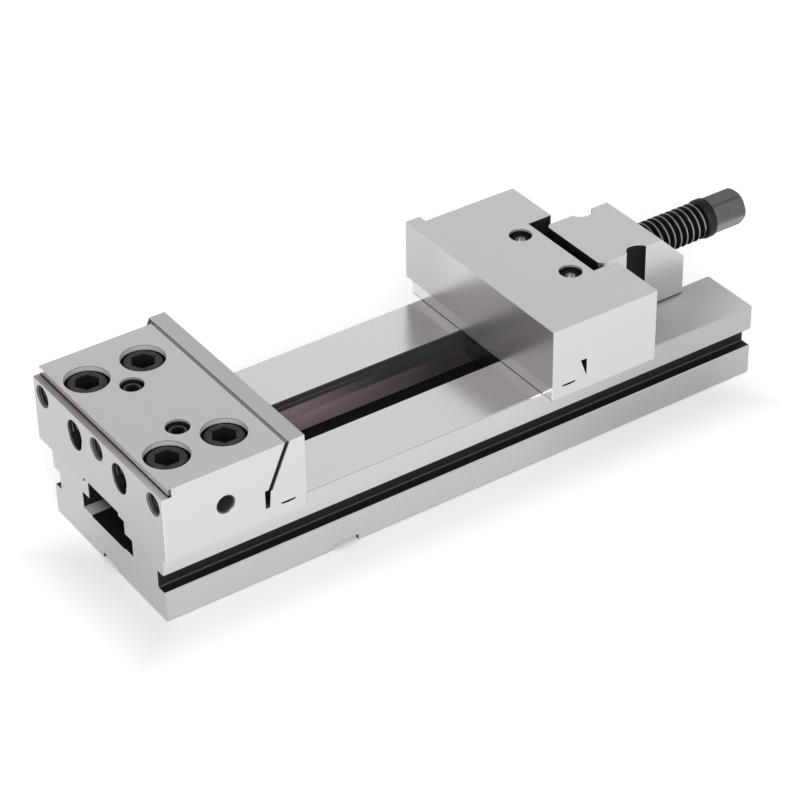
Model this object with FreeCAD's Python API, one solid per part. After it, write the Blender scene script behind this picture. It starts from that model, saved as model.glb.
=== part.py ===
import FreeCAD, Part
import math
import os

# Modular machine vise: a ground steel bed, a bolted fixed jaw, a moving jaw and a nut carriage
# that is set in steps along the bed and drives the jaw with a screw spindle.
# Millimetres. X runs along the bed towards the spindle, Y across it, Z up.
# The origin is on the bed's underside where its two keyways cross.

# Bed
BED_LENGTH = 437.0
BED_WIDTH = 130.0
BED_HEIGHT = 51.0
BED_END_INSET = 3.0
EDGE_CHAMFER = 0.6
SLOT_WIDTH = 42.0
UNDERCUT_WIDTH = 58.6
UNDERCUT_FLOOR_Z = 25.0
UNDERCUT_ROOF_Z = 36.7
FLOOR_RELIEF_WIDTH = 39.0
FLOOR_RELIEF_DEPTH = 1.0
SIDE_SLOT_FLOOR_Z = 21.0
SIDE_SLOT_HEIGHT = 12.5
SIDE_SLOT_DEPTH = 7.5
KEYWAY_WIDTH = 18.0
KEYWAY_DEPTH = 4.0
KEYWAY_FROM_END = 127.5
INDEX_PITCH = 25.0
INDEX_HOLES_INWARD = 6
INDEX_HOLES_OUTWARD = 1
INDEX_HOLE_DEPTH = 12.0

# Jaws
JAW_WIDTH = 150.0
JAW_HEIGHT = 50.0
FIXED_JAW_LENGTH = 95.0
MOVING_JAW_LENGTH = 80.0
JAW_OPENING = 178.0
PLATE_HEIGHT = 41.0
PLATE_TOP_THICKNESS = 11.0
PLATE_OVERHANG = 6.5
FIXED_PLATE_KNEE_HEIGHT = 11.3
FIXED_PLATE_KNEE_THICKNESS = 24.0
FIXED_PLATE_FOOT_THICKNESS = 25.0
FIXED_SEAT_GAP = 2.2
SEAT_STRIP_TOP_INSET = 0.5
SEAT_STRIP_END_INSET = 1.2
MOVING_PLATE_FOOT_THICKNESS = 26.0
MOVING_SEAT_GAP = 0.03
RELIEF_HEIGHT = 12.6
FIXED_RELIEF_WIDTH = 4.0
LEDGE_GROOVE_LENGTH = 12.0
LEDGE_GROOVE_DEPTH = 1.5
LEDGE_GROOVE_FROM_FACE = 6.5
REAR_STEP_LENGTH = 4.5
REAR_STEP_DEPTH = 5.5
REAR_STEP_GROOVE = 1.6
JAW_RELIEF_WIDTH = 41.0
JAW_RELIEF_DEPTH = 2.5
JAW_SLIDE_GAP = 0.05
NOTCH_WIDTH = 68.0
NOTCH_DEPTH = 18.0

# Screws that hold the fixed jaw
BOLT_DIAMETER = 16.0
BOLT_HEAD_DIAMETER = 24.0
BOLT_HEAD_HEIGHT = 16.0
BOLT_SOCKET = 14.0
BOLT_SOCKET_DEPTH = 8.0
BOLT_COUNTERBORE = 28.0
BOLT_HEAD_RECESS = 2.0
BOLT_HOLE = 17.5
BOLT_GRIP = 66.0
BOLT_SPACING_X = 38.0
BOLT_SPACING_Y = 92.0
BOLT_FROM_END = 40.0
JAW_KEY_WIDTH = 12.0
JAW_KEY_HEIGHT = 8.0
JAW_KEY_LENGTH = 30.0
JAW_KEY_CENTRE_Y = 43.0

# Rods that draw the jaw plates back, and the screws from the top that lock them
ROD_DIAMETER = 15.0
ROD_SPACING = 52.0
ROD_DROP = 18.5
ROD_INTO_PLATE = 14.0
ROD_END_DEPTH = 12.0
MOVING_ROD_END_DEPTH = 4.0
ROD_MOUTH_DIAMETER = 17.0
ROD_MOUTH_DEPTH = 10.0
ROD_MOUTH_DROP = 4.0
LOCK_DIAMETER = 8.0
LOCK_HEAD_DIAMETER = 13.0
LOCK_HEAD_HEIGHT = 7.0
LOCK_SOCKET = 6.0
LOCK_SOCKET_DEPTH = 4.0
LOCK_COUNTERBORE = 15.0
LOCK_HEAD_RECESS = 3.0
LOCK_GRIP = 30.0
LOCK_HOLE = 9.0
LOCK_FROM_FIXED_END = 40.0
LOCK_FROM_NOTCH = 12.0

# Tapped holes for stops and accessories
END_TAP_DIAMETER = 12.0
END_TAP_MOUTH = 15.0
END_TAP_DEPTH = 25.0
END_TAP_SPACING = 64.5
END_TAP_DROP = 14.5
SIDE_TAP_DIAMETER = 10.2
SIDE_TAP_MOUTH = 12.6
SIDE_TAP_DEPTH = 22.0
SIDE_TAP_FROM_END = 41.0
SIDE_TAP_DROP = 26.0

# Nut carriage
NUT_FRONT_GAP = 9.6
NUT_LENGTH = 68.0
NUT_WIDTH = 56.0
NUT_DROP = 2.0
NUT_FLOAT = 1.0
NUT_REAR_CHAMFER = 18.9
NUT_CORNER_CHAMFER = 2.5
POCKET_RADIUS = 7.8
POCKET_DEPTH = 5.7
POCKET_FROM_FRONT = 28.9
FOOT_LENGTH = 60.0
FOOT_FROM_FRONT = 5.4
LEAD_NUT_DIAMETER = 30.0
LEAD_NUT_LENGTH = 42.0
LEAD_NUT_FROM_FRONT = 5.4
LEAD_NUT_SCREW_FROM_FRONT = 43.0
LEAD_NUT_SCREW_DIAMETER = 6.0
LEAD_NUT_SCREW_BITE = 1.2
NUT_BORE = 26.0
GUIDE_FROM_FACE = 9.0
GUIDE_FROM_NOTCH = 5.0
GUIDE_TONGUE = 4.0
GUIDE_SCREW_BEHIND_PLATE = 5.5
GUIDE_SCREW_FROM_NOTCH = 20.0
SLIDE_GAP = 0.1
HOLD_SCREW_DIAMETER = 6.0
HOLD_SCREW_HEAD = 10.0
HOLD_SCREW_HEAD_HEIGHT = 6.0
HOLD_SCREW_SOCKET = 5.0
HOLD_SCREW_RECESS = 0.6
HOLD_SCREW_SPACING_Y = 22.0
HOLD_SCREW_EDGE = 8.0
HOLD_SCREW_REAR_EDGE = 12.0
HOLD_SCREW_BITE = 12.0

# Index pin with its cross grip
INDEX_PIN_DIAMETER = 14.0
INDEX_PIN_TOP_GAP = 1.0
INDEX_PIN_LIFT = 0.5
INDEX_PIN_TIP_CHAMFER = 1.0
GRIP_DIAMETER = 6.0
GRIP_LENGTH = 53.0
GRIP_BELOW_TOP = 4.0
PLUNGER_DIAMETER = 6.0
PLUNGER_LENGTH = 12.0
PLUNGER_TIP_DIAMETER = 3.5
PLUNGER_TIP_LENGTH = 2.0
PLUNGER_Z = 31.0

# Spindle and its thrust end
SPINDLE_DROP = 20.5
THREAD_DIAMETER = 25.0
THREAD_PITCH = 5.0
THREAD_DEPTH = 2.5
THREAD_CREST = 1.7
THREAD_FLANK = 0.8
THREAD_LENGTH = 108.5
RUNOUT_DIAMETER = 20.0
RUNOUT_LENGTH = 2.5
COLLAR_DIAMETER = 25.6
COLLAR_LENGTH = 6.5
COLLAR_CHAMFER = 1.5
HEX_ACROSS_FLATS = 22.0
HEX_LENGTH = 25.0
HEX_END_DIAMETER = 21.0
HEX_END_CHAMFER = 2.2
THRUST_BORE = 22.0
THRUST_DEPTH = 30.0
PAD_THICKNESS = 4.0
BALL_DIAMETER = 12.0
BALL_GAP = 0.15
BALL_STAND_OUT = 6.5
NECK_DIAMETER = 15.0
SHOULDER_GAP = 0.5
RETAINER_DIAMETER = 35.0
RETAINER_DEPTH = 6.0
RETAINER_THICKNESS = 5.6
RETAINER_SPLIT = 0.4
RETAINER_SCREW_DIAMETER = 4.0
RETAINER_SCREW_HEAD = 7.0
RETAINER_SCREW_LENGTH = 12.0
RETAINER_SCREW_CIRCLE = 27.6

# Clearances
FIT = 0.05
KEY_FIT = 0.02

# Worked out from the sizes above
END_X = -KEYWAY_FROM_END
BED_X0 = END_X + BED_END_INSET
BED_X1 = BED_X0 + BED_LENGTH
JAW_TOP = BED_HEIGHT + JAW_HEIGHT
PLATE_Z0 = JAW_TOP - PLATE_HEIGHT
FIXED_FACE_X = END_X + FIXED_JAW_LENGTH
MOVING_FACE_X = FIXED_FACE_X + JAW_OPENING
NOTCH_X = MOVING_FACE_X + MOVING_JAW_LENGTH - NOTCH_DEPTH
NUT_X0 = NOTCH_X + NUT_FRONT_GAP
NUT_X1 = NUT_X0 + NUT_LENGTH
NUT_TOP = JAW_TOP - NUT_DROP
NUT_Z0 = BED_HEIGHT + NUT_FLOAT
POCKET_X = NUT_X0 + POCKET_FROM_FRONT
FOOT_X0 = NUT_X0 + FOOT_FROM_FRONT
GUIDE_X0 = MOVING_FACE_X + GUIDE_FROM_FACE
GUIDE_X1 = NOTCH_X - GUIDE_FROM_NOTCH
MOVING_LOCK_X = NOTCH_X - LOCK_FROM_NOTCH
FIXED_LOCK_X = END_X + LOCK_FROM_FIXED_END
SPINDLE_Z = JAW_TOP - SPINDLE_DROP
ROD_Z = JAW_TOP - ROD_DROP
LOCK_Y = ROD_SPACING / 2
FLOOR_Z = UNDERCUT_FLOOR_Z - FLOOR_RELIEF_DEPTH
LEAD_NUT_X0 = NUT_X0 + LEAD_NUT_FROM_FRONT
INDEX_PIN_Z0 = FLOOR_Z + INDEX_PIN_LIFT
INDEX_PIN_Z1 = SPINDLE_Z - LEAD_NUT_DIAMETER / 2 - INDEX_PIN_TOP_GAP
GRIP_Z = INDEX_PIN_Z1 - GRIP_BELOW_TOP
THRUST_X0 = NOTCH_X - THRUST_DEPTH
MARGIN = 5.0

X_AXIS = FreeCAD.Vector(1, 0, 0)
Y_AXIS = FreeCAD.Vector(0, 1, 0)
Z_AXIS = FreeCAD.Vector(0, 0, 1)


def vec(x, y, z):
    return FreeCAD.Vector(x, y, z)


def block(x0, x1, y0, y1, z0, z1):
    return Part.makeBox(x1 - x0, y1 - y0, z1 - z0, vec(x0, y0, z0))


def centred(x0, x1, width, z0, z1):
    return block(x0, x1, -width / 2, width / 2, z0, z1)


def rod_x(x0, x1, y, z, diameter):
    return Part.makeCylinder(diameter / 2, x1 - x0, vec(x0, y, z), X_AXIS)


def rod_y(x, y0, y1, z, diameter):
    return Part.makeCylinder(diameter / 2, y1 - y0, vec(x, y0, z), Y_AXIS)


def rod_z(x, y, z0, z1, diameter):
    return Part.makeCylinder(diameter / 2, z1 - z0, vec(x, y, z0), Z_AXIS)


def cone(centre, direction, d0, d1, length):
    return Part.makeCone(d0 / 2, d1 / 2, length, centre, direction)


def prism_y(points, y0, y1):
    """Extrude a closed outline of (x, z) points from y0 to y1."""
    corners = [vec(x, y0, z) for x, z in points]
    face = Part.Face(Part.makePolygon(corners + corners[:1]))
    return face.extrude(vec(0, y1 - y0, 0))


def prism_x(points, x0, x1):
    """Extrude a closed outline of (y, z) points from x0 to x1."""
    corners = [vec(x0, y, z) for y, z in points]
    face = Part.Face(Part.makePolygon(corners + corners[:1]))
    return face.extrude(vec(x1 - x0, 0, 0))


def turned_x(profile, y, z):
    """Turn a list of (x, radius) points about an axis along X through (y, z)."""
    corners = [vec(x, y, z + r) for x, r in profile]
    face = Part.Face(Part.makePolygon(corners + corners[:1]))
    return face.revolve(vec(0, y, z), X_AXIS, 360)


def join(shapes):
    body = shapes[0].fuse(shapes[1:]) if len(shapes) > 1 else shapes[0]
    return body.removeSplitter()


def remove(shape, cutters):
    return shape.cut(cutters).removeSplitter()


def edge_chamfer(shape, size, keep):
    edges = [edge for edge in shape.Edges if keep(edge)]
    return shape.makeChamfer(size, edges)


def straight_along(edge, axis):
    ends = [vertex.Point for vertex in edge.Vertexes]
    if len(ends) != 2:
        return False
    step = ends[1].sub(ends[0])
    return step.Length > MARGIN and abs(abs(step.dot(axis)) - step.Length) < 1e-6


def hex_prism(centre, direction, across, length):
    """A hexagonal bar whose corners point up and down, or along Y on an upright one."""
    radius = across / math.sqrt(3)
    side = X_AXIS.cross(direction) if abs(direction.x) < 0.5 else Y_AXIS
    other = direction.cross(side)
    corners = []
    for step in range(6):
        angle = math.radians(60 * step + 30)
        corners.append(centre.add(side * (radius * math.cos(angle))).add(other * (radius * math.sin(angle))))
    face = Part.Face(Part.makePolygon(corners + corners[:1]))
    return face.extrude(direction * length)


def cap_screw(top, down, diameter, head_diameter, head_height, socket, socket_depth, grip):
    """A socket head screw: top is the middle of the head's top, down is where it points."""
    rim = head_height * 0.06
    head = Part.makeCylinder(head_diameter / 2, head_height - rim, top.add(down * rim), down)
    crown = cone(top, down, head_diameter - 2 * rim, head_diameter, rim)
    tip = diameter * 0.1
    start = top.add(down * head_height)
    shank = Part.makeCylinder(diameter / 2, grip - tip, start, down)
    point = cone(start.add(down * (grip - tip)), down, diameter, diameter - 2 * tip, tip)
    screw = join([head, crown, shank, point])
    return screw.cut(hex_prism(top, down, socket, socket_depth))


def export(name, shapes):
    shape = shapes[0] if len(shapes) == 1 else Part.makeCompound(shapes)
    shape.exportStep("parts/" + name + ".step")


def both_sides(y):
    return (-y, y)


def bolt_centres():
    for dx in both_sides(BOLT_SPACING_X / 2):
        for y in both_sides(BOLT_SPACING_Y / 2):
            yield END_X + BOLT_FROM_END + dx, y


def index_hole_centres():
    for step in range(-INDEX_HOLES_INWARD, INDEX_HOLES_OUTWARD + 1):
        yield POCKET_X + step * INDEX_PITCH


def foot_screw_centres(x0, length):
    for x in (x0 + HOLD_SCREW_EDGE, x0 + length - HOLD_SCREW_REAR_EDGE):
        for y in both_sides(HOLD_SCREW_SPACING_Y / 2):
            yield x, y


def guide_screw_centres():
    yield MOVING_FACE_X + MOVING_PLATE_FOOT_THICKNESS + GUIDE_SCREW_BEHIND_PLATE, 0.0
    yield NOTCH_X - GUIDE_SCREW_FROM_NOTCH, 0.0


def bed_outline():
    """The bed's section: base, side slots, rails and the undercut channel."""
    half = BED_WIDTH / 2
    c = EDGE_CHAMFER
    slot_top = SIDE_SLOT_FLOOR_Z + SIDE_SLOT_HEIGHT
    inner = half - SIDE_SLOT_DEPTH
    right = [
        (half - c, 0), (half, c),
        (half, SIDE_SLOT_FLOOR_Z - c), (half - c, SIDE_SLOT_FLOOR_Z), (inner, SIDE_SLOT_FLOOR_Z),
        (inner, slot_top), (half - c, slot_top), (half, slot_top + c),
        (half, BED_HEIGHT - c), (half - c, BED_HEIGHT),
        (SLOT_WIDTH / 2 + c, BED_HEIGHT), (SLOT_WIDTH / 2, BED_HEIGHT - c),
        (SLOT_WIDTH / 2, UNDERCUT_ROOF_Z), (UNDERCUT_WIDTH / 2, UNDERCUT_ROOF_Z),
        (UNDERCUT_WIDTH / 2, UNDERCUT_FLOOR_Z), (FLOOR_RELIEF_WIDTH / 2, UNDERCUT_FLOOR_Z),
        (FLOOR_RELIEF_WIDTH / 2, FLOOR_Z),
    ]
    left = [(-y, z) for y, z in reversed(right)]
    return right + left


def jaw_key_cutters():
    half = JAW_KEY_HEIGHT / 2 + KEY_FIT
    width = JAW_KEY_WIDTH / 2 + KEY_FIT
    length = JAW_KEY_LENGTH / 2 + KEY_FIT
    x = END_X + BOLT_FROM_END
    for y in both_sides(JAW_KEY_CENTRE_Y):
        yield block(x - width, x + width, y - length, y + length, BED_HEIGHT - half, BED_HEIGHT + half)


def make_bed():
    bed = prism_x(bed_outline(), BED_X0, BED_X1)
    cutters = [
        centred(BED_X0 - MARGIN, BED_X1 + MARGIN, KEYWAY_WIDTH, -MARGIN, KEYWAY_DEPTH),
        block(-KEYWAY_WIDTH / 2, KEYWAY_WIDTH / 2, -BED_WIDTH, BED_WIDTH, -MARGIN, KEYWAY_DEPTH),
    ]
    thread_end = JAW_TOP - BOLT_HEAD_RECESS - BOLT_HEAD_HEIGHT - BOLT_GRIP - 2.0
    for x, y in bolt_centres():
        cutters.append(rod_z(x, y, thread_end, BED_HEIGHT + MARGIN, BOLT_DIAMETER + 2 * FIT))
    hole_z0 = FLOOR_Z - INDEX_HOLE_DEPTH
    for x in index_hole_centres():
        cutters.append(rod_z(x, 0, hole_z0, FLOOR_Z + MARGIN, INDEX_PIN_DIAMETER + 2 * FIT))
    cutters.extend(jaw_key_cutters())
    return remove(bed, cutters)


def fixed_plate_back():
    """Points (x, z) of the fixed plate's back, from the top down."""
    return [
        (FIXED_FACE_X - PLATE_TOP_THICKNESS, JAW_TOP),
        (FIXED_FACE_X - FIXED_PLATE_KNEE_THICKNESS, PLATE_Z0 + FIXED_PLATE_KNEE_HEIGHT),
        (FIXED_FACE_X - FIXED_PLATE_FOOT_THICKNESS, PLATE_Z0),
    ]


def fixed_seat_lean():
    """How far the fixed jaw's sloping seat runs back for each millimetre that it drops."""
    top_back, knee = fixed_plate_back()[:2]
    return (top_back[0] - knee[0]) / (top_back[1] - knee[1])


def fixed_seat_x(z, set_off):
    """Where the fixed plate's sloping back lies at a height, set off towards the body."""
    return fixed_plate_back()[0][0] - set_off - fixed_seat_lean() * (JAW_TOP - z)


def ledge_groove(near_x, far_x):
    """A shallow round groove across the ledge that the plate stands on."""
    half = (far_x - near_x) / 2
    radius = (half ** 2 + LEDGE_GROOVE_DEPTH ** 2) / (2 * LEDGE_GROOVE_DEPTH)
    centre_z = PLATE_Z0 - LEDGE_GROOVE_DEPTH + radius
    tube = rod_y(near_x + half, -JAW_WIDTH, JAW_WIDTH, centre_z, 2 * radius)
    ledge = block(near_x - 1, far_x + 1, -JAW_WIDTH, JAW_WIDTH, PLATE_Z0 - MARGIN, PLATE_Z0 + 0.2)
    return tube.common(ledge)


def lock_screw_cutters(x):
    top = JAW_TOP + MARGIN
    head_z = JAW_TOP - LOCK_HEAD_RECESS - LOCK_HEAD_HEIGHT
    tip_z = head_z - LOCK_GRIP - 1.0
    for y in both_sides(LOCK_Y):
        yield rod_z(x, y, head_z, top, LOCK_COUNTERBORE)
        yield rod_z(x, y, ROD_Z, head_z + 1.0, LOCK_HOLE)
        yield rod_z(x, y, tip_z, ROD_Z, LOCK_DIAMETER + 2 * FIT)


def make_lock_screws(x):
    top = JAW_TOP - LOCK_HEAD_RECESS
    screws = []
    for y in both_sides(LOCK_Y):
        screws.append(cap_screw(vec(x, y, top), vec(0, 0, -1), LOCK_DIAMETER, LOCK_HEAD_DIAMETER,
                                LOCK_HEAD_HEIGHT, LOCK_SOCKET, LOCK_SOCKET_DEPTH, LOCK_GRIP))
    return screws


def make_draw_rods(x0, x1, lock_x):
    rods = []
    for y in both_sides(LOCK_Y):
        bar = rod_x(x0, x1, y, ROD_Z, ROD_DIAMETER)
        rods.append(bar.cut(rod_z(lock_x, y, ROD_Z - ROD_DIAMETER, ROD_Z + ROD_DIAMETER, LOCK_HOLE)))
    return rods


def end_taps():
    """Three tapped holes in the fixed jaw's end face."""
    z = JAW_TOP - END_TAP_DROP
    mouth = (END_TAP_MOUTH - END_TAP_DIAMETER) / 2
    for y in (-END_TAP_SPACING, 0.0, END_TAP_SPACING):
        yield rod_x(END_X - MARGIN, END_X + END_TAP_DEPTH, y, z, END_TAP_DIAMETER)
        yield cone(vec(END_X, y, z), X_AXIS, END_TAP_MOUTH, END_TAP_DIAMETER, mouth)


def side_taps():
    """A tapped hole in each side of the fixed jaw."""
    x = END_X + SIDE_TAP_FROM_END
    z = JAW_TOP - SIDE_TAP_DROP
    half = JAW_WIDTH / 2
    mouth = (SIDE_TAP_MOUTH - SIDE_TAP_DIAMETER) / 2
    for side in (-1, 1):
        inward = vec(0, -side, 0)
        yield Part.makeCylinder(SIDE_TAP_DIAMETER / 2, SIDE_TAP_DEPTH, vec(x, side * half, z), inward)
        yield cone(vec(x, side * half, z), inward, SIDE_TAP_MOUTH, SIDE_TAP_DIAMETER, mouth)


def make_fixed_jaw_body():
    foot = fixed_plate_back()[2]
    step_x = END_X + REAR_STEP_LENGTH
    step_z = JAW_TOP - REAR_STEP_DEPTH
    relief_top = PLATE_Z0 + RELIEF_HEIGHT
    relief_x = foot[0] - FIXED_RELIEF_WIDTH + 1.0
    outline = [
        (END_X, BED_HEIGHT), (END_X, step_z), (step_x, step_z), (step_x, JAW_TOP),
        (fixed_seat_x(JAW_TOP, FIXED_SEAT_GAP), JAW_TOP),
        (fixed_seat_x(relief_top, FIXED_SEAT_GAP), relief_top), (relief_x, relief_top), (relief_x, PLATE_Z0),
        (FIXED_FACE_X, PLATE_Z0), (FIXED_FACE_X, BED_HEIGHT),
    ]
    half = JAW_WIDTH / 2
    jaw = prism_y(outline, -half, half)
    upright = edge_chamfer(jaw, EDGE_CHAMFER, lambda e: straight_along(e, Z_AXIS)
                           and abs(abs(e.CenterOfMass.y) - half) < 0.01
                           and (e.CenterOfMass.x < END_X + 0.1 or e.CenterOfMass.x > FIXED_FACE_X - 0.1))
    groove_x = FIXED_FACE_X - LEDGE_GROOVE_FROM_FACE
    step_groove = (step_x - 0.2, step_x + REAR_STEP_GROOVE)
    cutters = [
        centred(END_X - MARGIN, FIXED_FACE_X + MARGIN, JAW_RELIEF_WIDTH, 0, BED_HEIGHT + JAW_RELIEF_DEPTH),
        block(*step_groove, -half - 1, half + 1, step_z, step_z + REAR_STEP_GROOVE),
        ledge_groove(groove_x - LEDGE_GROOVE_LENGTH, groove_x),
    ]
    head_z = JAW_TOP - BOLT_HEAD_RECESS - BOLT_HEAD_HEIGHT
    for x, y in bolt_centres():
        cutters.append(rod_z(x, y, head_z, JAW_TOP + MARGIN, BOLT_COUNTERBORE))
        cutters.append(rod_z(x, y, 0, head_z + 1.0, BOLT_HOLE))
    for y in both_sides(LOCK_Y):
        cutters.append(rod_x(END_X - MARGIN, FIXED_FACE_X, y, ROD_Z, ROD_DIAMETER + 2 * FIT))
        cutters.append(rod_x(END_X - MARGIN, END_X + ROD_MOUTH_DEPTH, y, ROD_Z, ROD_MOUTH_DIAMETER))
        cutters.append(rod_x(END_X - MARGIN, END_X + ROD_MOUTH_DEPTH, y, ROD_Z - ROD_MOUTH_DROP,
                             ROD_DIAMETER))
    cutters.extend(lock_screw_cutters(FIXED_LOCK_X))
    cutters.extend(end_taps())
    cutters.extend(side_taps())
    cutters.extend(jaw_key_cutters())
    return remove(upright, cutters)


def make_fixed_jaw_plate():
    face_side = [(FIXED_FACE_X, PLATE_Z0), (FIXED_FACE_X, JAW_TOP)]
    plate = prism_y(face_side + fixed_plate_back(), -JAW_WIDTH / 2, JAW_WIDTH / 2 + PLATE_OVERHANG)
    end_x = fixed_plate_back()[1][0] + ROD_INTO_PLATE
    bores = [rod_x(END_X, end_x + 0.5, y, ROD_Z, ROD_DIAMETER + 2 * KEY_FIT) for y in both_sides(LOCK_Y)]
    return plate.cut(bores)


def make_seat_strip():
    """The thin strip between the fixed jaw's body and the back of its plate."""
    z1 = JAW_TOP - SEAT_STRIP_TOP_INSET
    z0 = PLATE_Z0 + RELIEF_HEIGHT
    outline = [(fixed_seat_x(z0, FIT), z0), (fixed_seat_x(z1, FIT), z1),
               (fixed_seat_x(z1, FIXED_SEAT_GAP - FIT), z1), (fixed_seat_x(z0, FIXED_SEAT_GAP - FIT), z0)]
    half = JAW_WIDTH / 2 - SEAT_STRIP_END_INSET
    rod_hole = ROD_DIAMETER + 2 * FIT
    holes = [rod_x(END_X, FIXED_FACE_X, y, ROD_Z, rod_hole) for y in both_sides(LOCK_Y)]
    return remove(prism_y(outline, -half, half), holes)


def make_bolts():
    top = JAW_TOP - BOLT_HEAD_RECESS
    screws = []
    for x, y in bolt_centres():
        screws.append(cap_screw(vec(x, y, top), vec(0, 0, -1), BOLT_DIAMETER, BOLT_HEAD_DIAMETER,
                                BOLT_HEAD_HEIGHT, BOLT_SOCKET, BOLT_SOCKET_DEPTH, BOLT_GRIP))
    return screws


def make_jaw_keys():
    x = END_X + BOLT_FROM_END
    keys = []
    for y in both_sides(JAW_KEY_CENTRE_Y):
        keys.append(block(x - JAW_KEY_WIDTH / 2, x + JAW_KEY_WIDTH / 2, y - JAW_KEY_LENGTH / 2,
                          y + JAW_KEY_LENGTH / 2, BED_HEIGHT - JAW_KEY_HEIGHT / 2,
                          BED_HEIGHT + JAW_KEY_HEIGHT / 2))
    return keys


def moving_plate_back(gap):
    """Points (x, z) of the moving plate's sloping back, set off by a gap."""
    top_x = MOVING_FACE_X + PLATE_TOP_THICKNESS + gap
    foot_x = MOVING_FACE_X + MOVING_PLATE_FOOT_THICKNESS + gap
    return (top_x, JAW_TOP), (foot_x, PLATE_Z0)


def make_moving_jaw_body():
    top_back, foot = moving_plate_back(MOVING_SEAT_GAP)
    slope = (foot[0] - top_back[0]) / PLATE_HEIGHT
    relief_top = PLATE_Z0 + RELIEF_HEIGHT
    rear_x = MOVING_FACE_X + MOVING_JAW_LENGTH
    base = BED_HEIGHT + JAW_SLIDE_GAP
    outline = [
        (MOVING_FACE_X, base), (MOVING_FACE_X, PLATE_Z0), (foot[0], PLATE_Z0), (foot[0], relief_top),
        (foot[0] - slope * RELIEF_HEIGHT, relief_top), top_back, (rear_x, JAW_TOP), (rear_x, base),
    ]
    half = JAW_WIDTH / 2
    jaw = prism_y(outline, -half, half)
    jaw = edge_chamfer(jaw, EDGE_CHAMFER, lambda e: straight_along(e, Z_AXIS)
                       and abs(abs(e.CenterOfMass.y) - half) < 0.01
                       and (e.CenterOfMass.x < MOVING_FACE_X + 0.1 or e.CenterOfMass.x > rear_x - 0.1))
    groove_x = MOVING_FACE_X + LEDGE_GROOVE_FROM_FACE
    stem = SLOT_WIDTH - 2 * SLIDE_GAP + 2 * KEY_FIT
    cutters = [
        centred(NOTCH_X, rear_x + MARGIN, NOTCH_WIDTH, 0, JAW_TOP + MARGIN),
        ledge_groove(groove_x, groove_x + LEDGE_GROOVE_LENGTH),
        centred(GUIDE_X0 - KEY_FIT, GUIDE_X1 + KEY_FIT, stem, 0, BED_HEIGHT + GUIDE_TONGUE),
        rod_x(THRUST_X0, rear_x, 0, SPINDLE_Z, THRUST_BORE),
        rod_x(NOTCH_X - RETAINER_DEPTH, rear_x, 0, SPINDLE_Z, RETAINER_DIAMETER + 2 * FIT),
    ]
    for y in both_sides(LOCK_Y):
        cutters.append(rod_x(MOVING_FACE_X, rear_x, y, ROD_Z, ROD_DIAMETER + 2 * FIT))
    cutters.extend(lock_screw_cutters(MOVING_LOCK_X))
    for x, y in guide_screw_centres():
        cutters.append(rod_z(x, y, 0, BED_HEIGHT + GUIDE_TONGUE + HOLD_SCREW_BITE,
                             HOLD_SCREW_DIAMETER + 2 * FIT))
    for y, z in retainer_screw_centres():
        cutters.append(rod_x(NOTCH_X - RETAINER_SCREW_LENGTH - 1.5, NOTCH_X, y, z,
                             RETAINER_SCREW_DIAMETER + 2 * FIT))
    return remove(jaw, cutters)


def make_moving_jaw_plate():
    top_back, foot = moving_plate_back(0.0)
    outline = [(MOVING_FACE_X, PLATE_Z0), foot, top_back, (MOVING_FACE_X, JAW_TOP)]
    plate = prism_y(outline, -JAW_WIDTH / 2, JAW_WIDTH / 2 + PLATE_OVERHANG)
    bores = []
    for y in both_sides(LOCK_Y):
        bores.append(rod_x(moving_rod_front() - 0.5, NOTCH_X, y, ROD_Z, ROD_DIAMETER + 2 * KEY_FIT))
    return plate.cut(bores)


def moving_rod_front():
    return MOVING_FACE_X + MOVING_PLATE_FOOT_THICKNESS - ROD_INTO_PLATE - PLATE_OVERHANG


def slide_sizes():
    """Half widths of a slide's stem and flange, and the flange's lower and upper face."""
    return (SLOT_WIDTH / 2 - SLIDE_GAP, UNDERCUT_WIDTH / 2 - SLIDE_GAP,
            UNDERCUT_FLOOR_Z + SLIDE_GAP, UNDERCUT_ROOF_Z - SLIDE_GAP)


def t_section(stem_top):
    """The section (y, z) of a slide that hooks under the bed's rails."""
    stem, flange, z0, z1 = slide_sizes()
    return [(-flange, z0), (flange, z0), (flange, z1), (stem, z1), (stem, stem_top),
            (-stem, stem_top), (-stem, z1), (-flange, z1)]


def hold_screw_cutters(centres, top):
    z0 = UNDERCUT_FLOOR_Z
    seat_z = z0 + HOLD_SCREW_RECESS + HOLD_SCREW_HEAD_HEIGHT
    for x, y in centres:
        yield rod_z(x, y, z0 - MARGIN, seat_z, HOLD_SCREW_HEAD + 1.0)
        yield rod_z(x, y, z0, top + MARGIN, HOLD_SCREW_DIAMETER + 1.0)


def make_hold_screws(centres, top):
    start = UNDERCUT_FLOOR_Z + HOLD_SCREW_RECESS
    grip = top + HOLD_SCREW_BITE - 1.5 - start - HOLD_SCREW_HEAD_HEIGHT
    return [cap_screw(vec(x, y, start), vec(0, 0, 1), HOLD_SCREW_DIAMETER, HOLD_SCREW_HEAD,
                      HOLD_SCREW_HEAD_HEIGHT, HOLD_SCREW_SOCKET, HOLD_SCREW_HEAD_HEIGHT / 2, grip)
            for x, y in centres]


def make_jaw_guide():
    top = BED_HEIGHT + GUIDE_TONGUE
    guide = prism_x(t_section(top), GUIDE_X0, GUIDE_X1)
    return remove(guide, list(hold_screw_cutters(guide_screw_centres(), top)))


def plunger_y0():
    return INDEX_PIN_DIAMETER / 2 + FIT


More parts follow.
